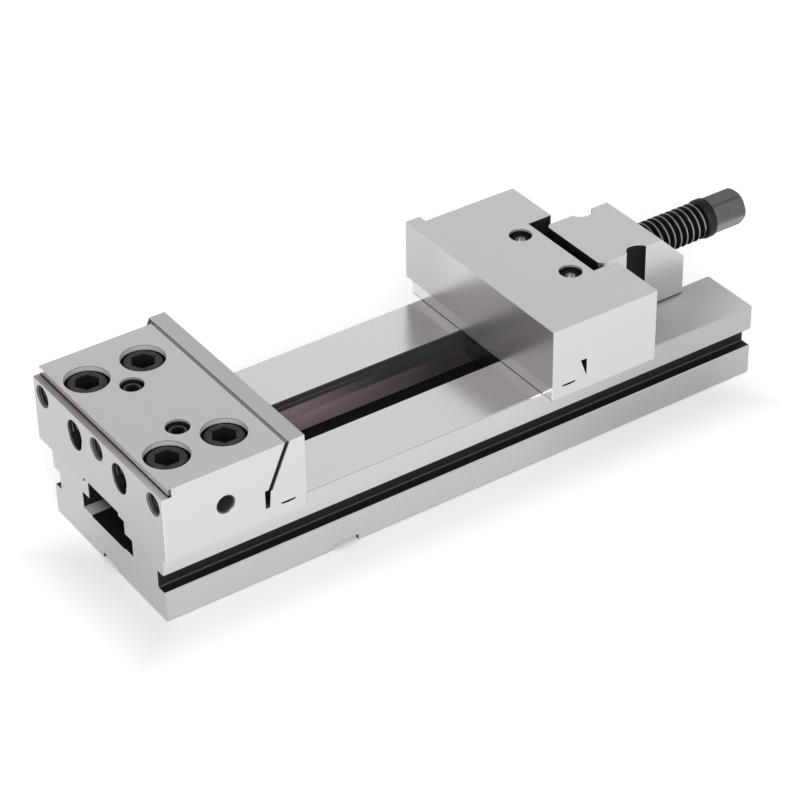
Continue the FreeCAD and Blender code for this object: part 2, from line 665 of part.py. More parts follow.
def make_foot_piece(half_width, z0, z1):
    """One of the two pieces of the carriage's foot, with the bores that go through both."""
    foot = block(FOOT_X0, FOOT_X0 + FOOT_LENGTH, -half_width, half_width, z0, z1)
    cutters = list(hold_screw_cutters(foot_screw_centres(FOOT_X0, FOOT_LENGTH), NUT_Z0))
    cutters.append(rod_z(POCKET_X, 0, 0, NUT_TOP, INDEX_PIN_DIAMETER + 2 * FIT))
    cutters.append(rod_y(POCKET_X, 0, UNDERCUT_WIDTH, PLUNGER_Z, PLUNGER_DIAMETER + 2 * KEY_FIT))
    return remove(foot, cutters)


def make_plunger():
    y0 = plunger_y0()
    tip = rod_y(POCKET_X, y0, y0 + PLUNGER_TIP_LENGTH + 1.0, PLUNGER_Z, PLUNGER_TIP_DIAMETER)
    sleeve = rod_y(POCKET_X, y0 + PLUNGER_TIP_LENGTH, y0 + PLUNGER_TIP_LENGTH + PLUNGER_LENGTH, PLUNGER_Z,
                   PLUNGER_DIAMETER)
    return join([tip, sleeve])


def make_nut_block():
    c = NUT_REAR_CHAMFER
    outline = [(NUT_X0, NUT_Z0), (NUT_X0, NUT_TOP), (NUT_X1 - c, NUT_TOP), (NUT_X1, NUT_TOP - c),
               (NUT_X1, NUT_Z0)]
    half = NUT_WIDTH / 2
    nut = prism_y(outline, -half, half)
    nut = edge_chamfer(nut, NUT_CORNER_CHAMFER, lambda e: straight_along(e, Z_AXIS)
                       and e.CenterOfMass.x < NUT_X0 + 0.1)
    pocket_y = half + POCKET_RADIUS - POCKET_DEPTH
    pin = INDEX_PIN_DIAMETER + 2 * FIT
    slot = GRIP_DIAMETER / 2 + 0.1
    cutters = [
        rod_x(NUT_X0 - MARGIN, NUT_X1 + MARGIN, 0, SPINDLE_Z, NUT_BORE),
        rod_x(LEAD_NUT_X0, LEAD_NUT_X0 + LEAD_NUT_LENGTH, 0, SPINDLE_Z, LEAD_NUT_DIAMETER + 2 * KEY_FIT),
        rod_x(NUT_X0 - MARGIN, LEAD_NUT_X0 + 1.0, 0, SPINDLE_Z, LEAD_NUT_DIAMETER + 2 * KEY_FIT),
        rod_z(POCKET_X, 0, 0, lead_nut_screw_z(), pin),
        block(POCKET_X - slot, POCKET_X + slot, -half - 1, half + 1, 0, GRIP_Z),
        rod_y(POCKET_X, -half - 1, half + 1, GRIP_Z, 2 * slot),
        rod_z(NUT_X0 + LEAD_NUT_SCREW_FROM_FRONT, 0, 0, lead_nut_screw_z(),
              LEAD_NUT_SCREW_DIAMETER + 2 * FIT),
    ]
    for y in both_sides(pocket_y):
        cutters.append(rod_z(POCKET_X, y, 0, NUT_TOP + MARGIN, 2 * POCKET_RADIUS))
    for x, y in foot_screw_centres(FOOT_X0, FOOT_LENGTH):
        cutters.append(rod_z(x, y, 0, NUT_Z0 + HOLD_SCREW_BITE, HOLD_SCREW_DIAMETER + 2 * FIT))
    return remove(nut, cutters)


def lead_nut_screw_z():
    return SPINDLE_Z - LEAD_NUT_DIAMETER / 2 + LEAD_NUT_SCREW_BITE


def make_lead_nut():
    nut = rod_x(LEAD_NUT_X0, LEAD_NUT_X0 + LEAD_NUT_LENGTH, 0, SPINDLE_Z, LEAD_NUT_DIAMETER)
    x = NUT_X0 + LEAD_NUT_SCREW_FROM_FRONT
    return remove(nut, [
        rod_x(NUT_X0, NUT_X1, 0, SPINDLE_Z, THREAD_DIAMETER + 2 * FIT),
        rod_z(x, 0, NUT_Z0, lead_nut_screw_z() + 0.2, LEAD_NUT_SCREW_DIAMETER + 2 * FIT),
    ])


def make_lead_nut_screw():
    x = NUT_X0 + LEAD_NUT_SCREW_FROM_FRONT
    return rod_z(x, 0, NUT_Z0, lead_nut_screw_z(), LEAD_NUT_SCREW_DIAMETER)


def make_index_pin():
    c = INDEX_PIN_TIP_CHAMFER
    tip = cone(vec(POCKET_X, 0, INDEX_PIN_Z0), Z_AXIS, INDEX_PIN_DIAMETER - 2 * c, INDEX_PIN_DIAMETER, c)
    shank = rod_z(POCKET_X, 0, INDEX_PIN_Z0 + c, INDEX_PIN_Z1, INDEX_PIN_DIAMETER)
    hole = rod_y(POCKET_X, -INDEX_PIN_DIAMETER, INDEX_PIN_DIAMETER, GRIP_Z, GRIP_DIAMETER)
    return join([tip, shank]).cut(hole)


def make_grip_pin():
    return rod_y(POCKET_X, -GRIP_LENGTH / 2, GRIP_LENGTH / 2, GRIP_Z, GRIP_DIAMETER)


def thread_profile(x0, x1):
    """The outline of the thread's ridges, as rings of the true pitch."""
    outer = THREAD_DIAMETER / 2
    root = outer - THREAD_DEPTH
    points = []
    x = x0
    while x + THREAD_PITCH <= x1:
        points.extend([(x, outer), (x + THREAD_CREST, outer), (x + THREAD_CREST + THREAD_FLANK, root),
                       (x + THREAD_PITCH - THREAD_FLANK, root)])
        x += THREAD_PITCH
    points.extend([(x, outer), (x1, outer)])
    return points


def spindle_stations():
    """Where the spindle's nose, thread and head start and end along X."""
    pad_end = THRUST_X0 + PAD_THICKNESS
    ball_x = pad_end + BALL_GAP + BALL_DIAMETER / 2
    nose_x = pad_end + BALL_GAP + BALL_STAND_OUT
    neck_x = NOTCH_X - RETAINER_DEPTH - 2 * FIT
    thread_x = NOTCH_X + SHOULDER_GAP
    runout_x = thread_x + THREAD_LENGTH
    collar_x = runout_x + RUNOUT_LENGTH
    hex_x = collar_x + COLLAR_LENGTH
    return ball_x, nose_x, neck_x, thread_x, runout_x, collar_x, hex_x


def make_spindle():
    ball_x, nose_x, neck_x, thread_x, runout_x, collar_x, hex_x = spindle_stations()
    nose = THRUST_BORE / 2 - FIT
    neck = NECK_DIAMETER / 2
    runout = RUNOUT_DIAMETER / 2
    collar = COLLAR_DIAMETER / 2
    c = COLLAR_CHAMFER
    profile = [(nose_x, 0), (nose_x, nose), (neck_x, nose), (neck_x, neck), (thread_x, neck)]
    profile.extend(thread_profile(thread_x, runout_x))
    profile.extend([(runout_x, runout), (collar_x, runout), (collar_x, collar - c), (collar_x + c, collar),
                    (hex_x, collar), (hex_x, 0)])
    shaft = turned_x(profile, 0, SPINDLE_Z)
    head = hex_prism(vec(hex_x - 1.0, 0, SPINDLE_Z), X_AXIS, HEX_ACROSS_FLATS, HEX_LENGTH + 1.0)
    end_x = hex_x + HEX_LENGTH
    corner = HEX_ACROSS_FLATS / math.sqrt(3)
    rounding = turned_x([(hex_x - 1.0, 0), (hex_x - 1.0, corner + 1),
                         (end_x - HEX_END_CHAMFER, corner + 0.1), (end_x, HEX_END_DIAMETER / 2),
                         (end_x, 0)], 0, SPINDLE_Z)
    cup = Part.makeSphere(BALL_DIAMETER / 2 + KEY_FIT, vec(ball_x, 0, SPINDLE_Z))
    return join([shaft, head.common(rounding)]).cut(cup)


def make_thrust_ball():
    return Part.makeSphere(BALL_DIAMETER / 2, vec(spindle_stations()[0], 0, SPINDLE_Z))


def make_thrust_pad():
    return rod_x(THRUST_X0, THRUST_X0 + PAD_THICKNESS, 0, SPINDLE_Z, THRUST_BORE - 2 * KEY_FIT)


def retainer_screw_centres():
    for step in range(4):
        angle = math.radians(45 + 90 * step)
        radius = RETAINER_SCREW_CIRCLE / 2
        yield radius * math.cos(angle), SPINDLE_Z + radius * math.sin(angle)


def make_retainer_halves():
    x0 = NOTCH_X - RETAINER_DEPTH
    x1 = x0 + RETAINER_THICKNESS
    disc = rod_x(x0, x1, 0, SPINDLE_Z, RETAINER_DIAMETER)
    head_depth = (RETAINER_SCREW_HEAD - RETAINER_SCREW_DIAMETER) / 2
    cutters = [
        rod_x(x0 - 1, x1 + 1, 0, SPINDLE_Z, NECK_DIAMETER + 2 * FIT),
        block(x0 - 1, x1 + 1, -RETAINER_DIAMETER, RETAINER_DIAMETER, SPINDLE_Z - RETAINER_SPLIT / 2,
              SPINDLE_Z + RETAINER_SPLIT / 2),
    ]
    for y, z in retainer_screw_centres():
        cutters.append(rod_x(x0 - 1, x1 + 1, y, z, RETAINER_SCREW_DIAMETER + 2 * FIT))
        cutters.append(cone(vec(x1 - head_depth, y, z), X_AXIS, RETAINER_SCREW_DIAMETER + 2 * FIT,
                            RETAINER_SCREW_HEAD + 2 * FIT, head_depth))
    return disc.cut(cutters).Solids


def make_retainer_screws():
    x1 = NOTCH_X - RETAINER_DEPTH + RETAINER_THICKNESS
    head_depth = (RETAINER_SCREW_HEAD - RETAINER_SCREW_DIAMETER) / 2
    screws = []
    for y, z in retainer_screw_centres():
        head = cone(vec(x1 - head_depth, y, z), X_AXIS, RETAINER_SCREW_DIAMETER, RETAINER_SCREW_HEAD,
                    head_depth)
        shank = rod_x(x1 - RETAINER_SCREW_LENGTH, x1 - head_depth, y, z, RETAINER_SCREW_DIAMETER)
        socket = hex_prism(vec(x1, y, z), vec(-1, 0, 0), RETAINER_SCREW_DIAMETER * 0.6, head_depth)
        screws.append(join([head, shank]).cut(socket))
    return screws


def main():
    os.makedirs("parts", exist_ok=True)
    fixed_rod_end = fixed_plate_back()[1][0] + ROD_INTO_PLATE
    foot_screws = list(foot_screw_centres(FOOT_X0, FOOT_LENGTH))
    guide_screws = list(guide_screw_centres())
    stem, flange, flange_z0, flange_z1 = slide_sizes()
    export("bed", [make_bed()])
    export("fixed_jaw_body", [make_fixed_jaw_body()])
    export("fixed_jaw_plate", [make_fixed_jaw_plate()])
    export("fixed_jaw_seat_strip", [make_seat_strip()])
    export("fixed_jaw_bolts", make_bolts())
    export("fixed_jaw_keys", make_jaw_keys())
    export("fixed_jaw_draw_rods", make_draw_rods(END_X + ROD_END_DEPTH, fixed_rod_end, FIXED_LOCK_X))
    export("fixed_jaw_lock_screws", make_lock_screws(FIXED_LOCK_X))
    export("moving_jaw_body", [make_moving_jaw_body()])
    export("moving_jaw_plate", [make_moving_jaw_plate()])
    export("moving_jaw_draw_rods", make_draw_rods(moving_rod_front(), NOTCH_X - MOVING_ROD_END_DEPTH,
                                                  MOVING_LOCK_X))
    export("moving_jaw_lock_screws", make_lock_screws(MOVING_LOCK_X))
    export("jaw_guide", [make_jaw_guide()])
    export("jaw_guide_screws", make_hold_screws(guide_screws, BED_HEIGHT + GUIDE_TONGUE))
    export("nut_block", [make_nut_block()])
    export("lead_nut", [make_lead_nut()])
    export("lead_nut_screw", [make_lead_nut_screw()])
    export("carriage_foot", [make_foot_piece(stem, flange_z1, NUT_Z0)])
    export("carriage_foot_plate", [make_foot_piece(flange, flange_z0, flange_z1)])
    export("carriage_foot_screws", make_hold_screws(foot_screws, NUT_Z0))
    export("index_plunger", [make_plunger()])
    export("index_pin", [make_index_pin()])
    export("index_grip_pin", [make_grip_pin()])
    export("spindle", [make_spindle()])
    export("thrust_ball", [make_thrust_ball()])
    export("thrust_pad", [make_thrust_pad()])
    halves = make_retainer_halves()
    halves.sort(key=lambda half: half.CenterOfMass.z)
    export("nose_retainer_lower", [halves[0]])
    export("nose_retainer_upper", [halves[1]])
    export("nose_retainer_screws", make_retainer_screws())


main()
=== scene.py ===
"""Looks for a modular machine vise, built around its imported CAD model."""

import logging
import math
from dataclasses import dataclass
from enum import Enum
from typing import Any, NamedTuple, Optional, Sequence, Union

import bmesh
import bpy
from mathutils import Matrix, Vector


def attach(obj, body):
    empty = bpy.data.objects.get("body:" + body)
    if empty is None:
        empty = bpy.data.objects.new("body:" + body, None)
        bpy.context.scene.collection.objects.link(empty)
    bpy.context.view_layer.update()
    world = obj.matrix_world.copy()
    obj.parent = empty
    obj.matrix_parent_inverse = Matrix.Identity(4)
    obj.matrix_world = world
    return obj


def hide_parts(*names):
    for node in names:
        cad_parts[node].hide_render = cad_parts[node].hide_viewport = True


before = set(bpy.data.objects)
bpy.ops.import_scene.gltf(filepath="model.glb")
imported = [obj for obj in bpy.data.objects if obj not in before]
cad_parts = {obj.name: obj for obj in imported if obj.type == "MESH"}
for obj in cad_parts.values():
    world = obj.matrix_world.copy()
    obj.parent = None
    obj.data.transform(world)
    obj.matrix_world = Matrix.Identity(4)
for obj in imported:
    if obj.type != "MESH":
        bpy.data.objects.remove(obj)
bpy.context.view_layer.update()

MM = 0.001
log = logging.getLogger("vise")

Colour = tuple[float, float, float]
Value = Union["Wire", float, int]

# The CAD's faces that zones are set from, in millimetres.
BED_START, BED_STOP = -124.5, 312.5
BED_SIDE_Y, BED_TOP_Z = 65.0, 51.0
JAW_END_X, FIXED_FACE_X, MOVING_FACE_X = -127.5, -32.5, 145.5
JAW_SIDE_Y, PLATE_SIDE_Y = 75.0, 81.5
LEDGE_Z, JAW_TOP_Z = 60.0, 101.0
NUT_FRONT_X, NUT_SIDE_Y, SPINDLE_Z = 217.1, 28.0, 80.5
# How far a face's zone reaches to both sides of it, and how far the zones of hollows keep inside the faces.
SKIN = 0.1
JAW_INNER_Y, JAW_OUTER_Y, JAW_PAST_Y = JAW_SIDE_Y - SKIN, JAW_SIDE_Y + SKIN, JAW_SIDE_Y + 1.0
PLATE_PAST_Y = PLATE_SIDE_Y + 2.5
# How much of a thread's wave, which runs from -1 to 1, is drawn as its line of painted glint.
THREAD_LINE_RAMP = (0.45, 0.85)
# How much the steels' surface mirrors where it isn't metallic, for the shader's Specular IOR Level.
SHEEN = 0.3
# Points of a piece that are nearer than this are one point, in millimetres.
SAME_POINT = 1e-4
# Edges that bend by more than this are sharp, in degrees.
SHARP_EDGE = 32.0


class Axis(Enum):
    """A direction of the vise: along the bed, across it, or up."""

    ALONG = 0
    ACROSS = 1
    UP = 2


class Wire:
    """One value in a material's nodes, which Python arithmetic turns into Math nodes."""

    def __init__(self, shading: "Shading", socket: bpy.types.NodeSocket) -> None:
        """Wrap a socket.

        Args:
            shading: The material's nodes that the socket belongs to.
            socket: The output socket that gives the value.
        """
        self.shading = shading
        self.socket = socket

    def _math(self, operation: str, *values: Value) -> "Wire":
        """Add a Math node.

        Args:
            operation: The node's operation.
            values: Its inputs, in order.

        Returns:
            The node's result.
        """
        inputs = dict(enumerate(values))
        return Wire(self.shading, self.shading.node("ShaderNodeMath", {"operation": operation}, inputs).outputs[0])

    def __add__(self, other: Value) -> "Wire":
        """Add."""
        return self._math("ADD", self, other)

    def __radd__(self, other: Value) -> "Wire":
        """Add to a number."""
        return self._math("ADD", other, self)

    def __sub__(self, other: Value) -> "Wire":
        """Subtract."""
        return self._math("SUBTRACT", self, other)

    def __rsub__(self, other: Value) -> "Wire":
        """Subtract from a number."""
        return self._math("SUBTRACT", other, self)

    def __mul__(self, other: Value) -> "Wire":
        """Multiply."""
        return self._math("MULTIPLY", self, other)

    def __abs__(self) -> "Wire":
        """Take the size without its sign."""
        return self._math("ABSOLUTE", self)

    def __lt__(self, other: Value) -> "Wire":
        """Give 1 where this is the smaller."""
        return self._math("LESS_THAN", self, other)

    def __gt__(self, other: Value) -> "Wire":
        """Give 1 where this is the larger."""
        return self._math("GREATER_THAN", self, other)

    def __or__(self, other: Value) -> "Wire":
        """Take the larger, which joins two masks."""
        return self._math("MAXIMUM", self, other)

    def root(self) -> "Wire":
        """Take the square root."""
        return self._math("SQRT", self)

    def sine(self) -> "Wire":
        """Take the sine."""
        return self._math("SINE", self)

    def ramp(self, low: float, high: float, to_low: float = 0.0, to_high: float = 1.0) -> "Wire":
        """Map a range onto another, smoothly and clamped.

        Args:
            low: The value that gives to_low.
            high: The value that gives to_high.
            to_low: The result at low.
            to_high: The result at high.

        Returns:
            The mapped value.
        """
        node = self.shading.node(
            "ShaderNodeMapRange", {"interpolation_type": "SMOOTHSTEP"},
            {"Value": self, "From Min": low, "From Max": high, "To Min": to_low, "To Max": to_high})
        return Wire(self.shading, node.outputs[0])


class Shading:
    """The nodes of one material, or of the world."""

    def __init__(self, owner: Union[bpy.types.Material, bpy.types.World]) -> None:
        """Start with no nodes.

        Args:
            owner: The new material or world.
        """
        self.owner = owner
        owner.use_nodes = True
        self.tree = owner.node_tree
        self.tree.nodes.clear()
        self._place: Optional[tuple[Wire, Wire, Wire]] = None

    @classmethod
    def of_material(cls, name: str) -> "Shading":
        """Start a material with this name."""
        return cls(bpy.data.materials.new(name))

    def node(self, kind: str, settings: Optional[dict[str, Any]] = None,
             inputs: Optional[dict[Union[str, int], Any]] = None) -> bpy.types.Node:
        """Add a node.

        Args:
            kind: The node's type.
            settings: Its own settings, set before its inputs.
            inputs: Values, wires or sockets for its inputs, by name or number.

        Returns:
            The node.
        """
        made = self.tree.nodes.new(kind)
        for name, value in (settings or {}).items():
            setattr(made, name, value)
        for name, value in (inputs or {}).items():
            if isinstance(value, Wire):
                self.tree.links.new(value.socket, made.inputs[name])
            elif isinstance(value, bpy.types.NodeSocket):
                self.tree.links.new(value, made.inputs[name])
            else:
                made.inputs[name].default_value = value
        return made

    def wire(self, socket: bpy.types.NodeSocket) -> Wire:
        """Wrap a socket for arithmetic."""
        return Wire(self, socket)

    def object_vector(self) -> bpy.types.NodeSocket:
        """Give the surface point in the vise's own frame, in metres."""
        return self.node("ShaderNodeTexCoord").outputs["Object"]

    def place(self) -> tuple[Wire, Wire, Wire]:
        """Give the surface point, whose nodes are made once.

        Returns:
            Its x, y and z in millimetres.
        """
        if self._place is None:
            scaled = self.node("ShaderNodeVectorMath", {"operation": "SCALE"},
                               {0: self.object_vector(), "Scale": 1.0 / MM})
            split = self.node("ShaderNodeSeparateXYZ", None, {0: scaled.outputs[0]})
            self._place = tuple(self.wire(out) for out in split.outputs)
        return self._place

    def noise(self, size: Sequence[float], detail: float = 2.0, roughness: float = 0.5) -> Wire:
        """Add noise that is stretched along the vise's axes.

        Args:
            size: The noise's grain along x, y and z, in millimetres.
            detail: How many finer layers it has.
            roughness: How strong they are.

        Returns:
            The noise, from 0 to 1.
        """
        mapped = self.node("ShaderNodeMapping", {"vector_type": "POINT"},
                           {"Vector": self.object_vector(), "Scale": [1.0 / (MM * s) for s in size]})
        made = self.node("ShaderNodeTexNoise", None,
                         {"Vector": mapped.outputs[0], "Scale": 1.0, "Detail": detail, "Roughness": roughness})
        return self.wire(made.outputs[0])

    def colour(self, mask: Value, low: Any, high: Any) -> bpy.types.NodeSocket:
        """Mix two colours.

        Args:
            mask: 0 for the first colour, 1 for the second.
            low: The first colour, or a socket that gives it.
            high: The second colour, or a socket that gives it.

        Returns:
            The mixed colour.
        """
        made = self.node("ShaderNodeMix", {"data_type": "RGBA"})
        for name, value in ((6, low), (7, high), (0, mask)):
            if isinstance(value, Wire):
                self.tree.links.new(value.socket, made.inputs[name])
            elif isinstance(value, bpy.types.NodeSocket):
                self.tree.links.new(value, made.inputs[name])
            elif name == 0:
                made.inputs[name].default_value = value
            else:
                made.inputs[name].default_value = (*value, 1.0)
        return made.outputs[2]

    def zoned(self, zones: Sequence["Zone"], colour: bpy.types.NodeSocket, roughness: Wire,
              metallic: Value) -> tuple[bpy.types.NodeSocket, Wire, Value]:
        """Lay zones over a surface, each over those before it.

        Args:
            zones: The zones, from the widest to the smallest.
            colour: The surface's colour outside them.
            roughness: Its roughness there.
            metallic: How metallic it is there.

        Returns:
            The colour, roughness and metallic value with the zones in place.
        """
        for zone in zones:
            mask = zone.inside(self)
            keep = 1.0 - mask
            colour = self.colour(mask, colour, zone.finish.colour)
            roughness = roughness * keep + mask * zone.finish.roughness
            metallic = keep * metallic + mask * zone.finish.metallic
        return colour, roughness, metallic

    def finish(self, inputs: dict[str, Any], height: Optional[Wire] = None,
               relief: float = 0.0) -> bpy.types.Material:
        """Close the material with its shader.

        Args:
            inputs: What goes into the shader's sockets.
            height: The surface's fine relief, from 0 to 1.
            relief: How deep the relief is, in millimetres.

        Returns:
            The finished material.
        """
        shader = self.node("ShaderNodeBsdfPrincipled", None, inputs)
        if height is not None:
            bump = self.node("ShaderNodeBump", None, {"Height": height, "Distance": relief * MM, "Strength": 1.0})
            self.tree.links.new(bump.outputs[0], shader.inputs["Normal"])
        self.node("ShaderNodeOutputMaterial", None, {0: shader.outputs[0]})
        return self.owner


@dataclass(frozen=True)
class Finish:
    """How one zone of a surface looks: its colour, roughness and how metallic it looks, where the colour is often
    painted light, shade or a painted reflection.
    """

    colour: Colour
    roughness: float
    metallic: float = 0.0


# Painted shade: a black for grooves, the channel's relief and the line under the moving jaw's foot, a deeper black
# for recesses, pockets, sockets, gaps and faces hidden between parts, and a dark painted shade for the walls of the
# moving jaw's notch. The lit wall is a painted lit band under a recess's rim. The side slots' black is their own
# blackened finish.
BLACK_SHADE = Finish((0.008, 0.0075, 0.009), 0.6)
SLOT_BLACK = Finish((0.008, 0.0075, 0.0095), 0.6)
DEEP_SHADE = Finish((0.003, 0.0028, 0.0035), 0.75)
LIT_WALL = Finish((0.58, 0.57, 0.57), 0.45, 0.1)
SHADED_WALL = Finish((0.045, 0.042, 0.045), 0.4, 0.3)


@dataclass(frozen=True)
class Hollow:
    """A boxed zone of a surface, which may fade out from one place along an axis to another."""

    finish: Finish
    low: Sequence[float]
    high: Sequence[float]
    both_sides: bool = False
    fade: Optional[tuple[float, float]] = None
    fade_along: Axis = Axis.ALONG

    def inside(self, shading: Shading) -> Wire:
        """Give 1 inside the zone.

        Args:
            shading: The material's nodes.

        Returns:
            The mask.
        """
        x, y, z = shading.place()
        y = abs(y) if self.both_sides else y
        mask = (x > self.low[0]) * (x < self.high[0])
        mask = mask * (y > self.low[1]) * (y < self.high[1])
        mask = mask * (z > self.low[2]) * (z < self.high[2])
        if self.fade:
            mask = mask * (x, y, z)[self.fade_along.value].ramp(*self.fade, 1.0, 0.0)
        return mask


class Places(NamedTuple):
    """Where one hole is, or several alike that are set evenly about a middle, across their axis."""

    middle: tuple[float, float]
    offset: tuple[float, float] = (0.0, 0.0)


@dataclass(frozen=True)
class Bore:
    """Round holes along an axis, from one depth to another, with or without painted glints on a thread's lines."""

    finish: Finish
    axis: Axis
    places: Places
    radius: float
    low: float
    high: float
    pitch: float = 0.0

    def inside(self, shading: Shading) -> Wire:
        """Give 1 inside the holes, or on the thread's lines in them.

        Args:
            shading: The material's nodes.

        Returns:
            The mask.
        """
        place = list(shading.place())
        depth = place.pop(self.axis.value)
        far = []
        for value, centre, step in zip(place, self.places.middle, self.places.offset):
            value = value - centre
            far.append(abs(value) - step if step else value)
        radius = (far[0] * far[0] + far[1] * far[1]).root()
        mask = (radius < self.radius) * (depth > self.low) * (depth < self.high)
        if self.pitch:
            mask = mask * (depth * (math.tau / self.pitch)).sine().ramp(*THREAD_LINE_RAMP)
        return mask


@dataclass(frozen=True)
class Crest:
    """The outermost skin of a round part along the vise's axis."""

    finish: Finish
    height: float
    radius: float
    low: float
    high: float

    def inside(self, shading: Shading) -> Wire:
        """Give 1 on the skin.

        Args:
            shading: The material's nodes.

        Returns:
            The mask.
        """
        x, y, z = shading.place()
        z = z - self.height
        radius = (y * y + z * z).root()
        return (radius > self.radius) * (x > self.low) * (x < self.high)


@dataclass(frozen=True)
class Lean:
    """A band on both sides of a jaw that leans along the vise."""

    finish: Finish
    foot: tuple[float, float]
    head: tuple[float, float]
    half_width: float
    side: float

    def inside(self, shading: Shading) -> Wire:
        """Give 1 in the band.

        Args:
            shading: The material's nodes.

        Returns:
            The mask.
        """
        x, y, z = shading.place()
        slope = (self.head[0] - self.foot[0]) / (self.head[1] - self.foot[1])
        off = abs(x - ((z - self.foot[1]) * slope + self.foot[0]))
        return (off < self.half_width) * (z > self.foot[1]) * (z < self.head[1]) * (abs(y) > self.side)


Zone = Union[Hollow, Bore, Crest, Lean]


def on_face(finish: Finish, axis: Axis, at: float, low: Sequence[float], high: Sequence[float],
            **more: Any) -> Hollow:
    """Make the zone of one flat face.

    Args:
        finish: The face's finish.
        axis: The axis that the face is square to.
        at: Where on that axis the face is.
        low: The zone's lower ends along the other two axes, in order.
        high: Its upper ends along them.
        more: The zone's fade, and whether it is on both sides.

    Returns:
        The zone.
    """
    start, stop = list(low), list(high)
    start.insert(axis.value, at - SKIN)
    stop.insert(axis.value, at + SKIN)
    return Hollow(finish, start, stop, **more)


def recess(wall: Finish, places: Places, radius: float, lit_from: float, lit_to: float) -> tuple[Bore, ...]:
    """Make the zones of screws' recesses in a jaw's top: painted shade below and a painted lit band under the rim.

    Args:
        wall: The painted lit band's finish.
        places: Where the recesses are.
        radius: Their radius.
        lit_from: The band's lower end.
        lit_to: The band's upper end.

    Returns:
        The zones.
    """
    return (Bore(wall, Axis.UP, places, radius, BED_TOP_Z - 1.0, lit_to),
            Bore(DEEP_SHADE, Axis.UP, places, radius, BED_TOP_Z - 1.0, lit_from))


@dataclass(frozen=True)
class GroundSteel:
    """Bright steel with fine grinding lines, and zones of other finishes and of painted light, shade, highlights and
    reflections.
    """

    name: str
    colour: Colour = (0.79, 0.775, 0.782)
    roughness: float = 0.24
    metallic: float = 0.85
    lines: Axis = Axis.ALONG
    grain: float = 0.22
    stroke: float = 26.0
    relief: float = 0.0012

    def material(self, zones: Sequence[Zone] = ()) -> bpy.types.Material:
        """Build the material.

        Args:
            zones: The zones with another finish or with painted light, shade, highlights and reflections, from the
                widest to the smallest.

        Returns:
            The material.
        """
        s = Shading.of_material(self.name)
        size = [self.grain, self.grain, self.grain]
        size[self.lines.value] = self.stroke
        streaks = s.noise(size, 3.0, 0.6)
        fine = s.noise([v * 0.4 for v in size], 2.0, 0.5)
        cloud = s.noise((60.0, 60.0, 60.0), 2.0, 0.5)
        stain = s.noise((9.0, 9.0, 9.0), 4.0, 0.6)
        grain = streaks * 0.6 + fine * 0.4
        shade = grain.ramp(0.2, 0.8) * 0.45 + cloud * 0.4 + stain * 0.15
        colour = s.colour(shade, [c * 0.94 for c in self.colour], [min(1.0, c * 1.05) for c in self.colour])
        roughness = self.roughness + (grain - 0.5) * 0.10 + (stain - 0.5) * 0.05
        colour, roughness, metallic = s.zoned(zones, colour, roughness, self.metallic)
        return s.finish({"Base Color": colour, "Roughness": roughness, "Metallic": metallic,
                         "Specular IOR Level": SHEEN}, grain, self.relief)


@dataclass(frozen=True)
class BlackSteel:
    """Steel under a thin black oxide, a little browner and glossier where it was handled."""

    name: str
    colour: Colour = (0.018, 0.017, 0.019)
    worn: Colour = (0.040, 0.038, 0.040)
    roughness: float = 0.38
    metallic: float = 0.0
    relief: float = 0.004

    def material(self, zones: Sequence[Zone] = ()) -> bpy.types.Material:
        """Build the material.

        Args:
            zones: The zones with another finish or with painted shade and glints.

        Returns:
            The material.
        """
        s = Shading.of_material(self.name)
        speck = s.noise((0.5, 0.5, 0.5), 4.0, 0.65)
        cloud = s.noise((6.0, 6.0, 6.0), 3.0, 0.55)
        wear = (speck * 0.55 + cloud * 0.45).ramp(0.38, 0.66)
        colour = s.colour(wear, self.colour, self.worn)
        roughness = self.roughness + (speck - 0.5) * 0.16
        colour, roughness, metallic = s.zoned(zones, colour, roughness, self.metallic)
        return s.finish({"Base Color": colour, "Roughness": roughness, "Metallic": metallic,
                         "Specular IOR Level": SHEEN}, speck, self.relief)


@dataclass(frozen=True)
class TurnedSteel:
    """Machined steel with fine tool marks around its axis."""

    name: str
    colour: Colour
    roughness: float = 0.3
    metallic: float = 1.0
    relief: float = 0.0015

    def material(self, zones: Sequence[Zone] = ()) -> bpy.types.Material:
        """Build the material.

        Args:
            zones: The zones with another finish or with a painted highlight, from the widest to the smallest.

        Returns:
            The material.
        """
        s = Shading.of_material(self.name)
        rings = s.noise((0.12, 6.0, 6.0), 2.0, 0.6)
        cloud = s.noise((8.0, 8.0, 8.0), 3.0, 0.5)
        shade = rings * 0.5 + cloud * 0.5
        colour = s.colour(shade.ramp(0.25, 0.75), [c * 0.86 for c in self.colour],
                          [min(1.0, c * 1.12) for c in self.colour])
        roughness = self.roughness + (shade - 0.5) * 0.14
        colour, roughness, metallic = s.zoned(zones, colour, roughness, self.metallic)
        return s.finish({"Base Color": colour, "Roughness": roughness, "Metallic": metallic,
                         "Specular IOR Level": SHEEN / 2}, rings, self.relief)


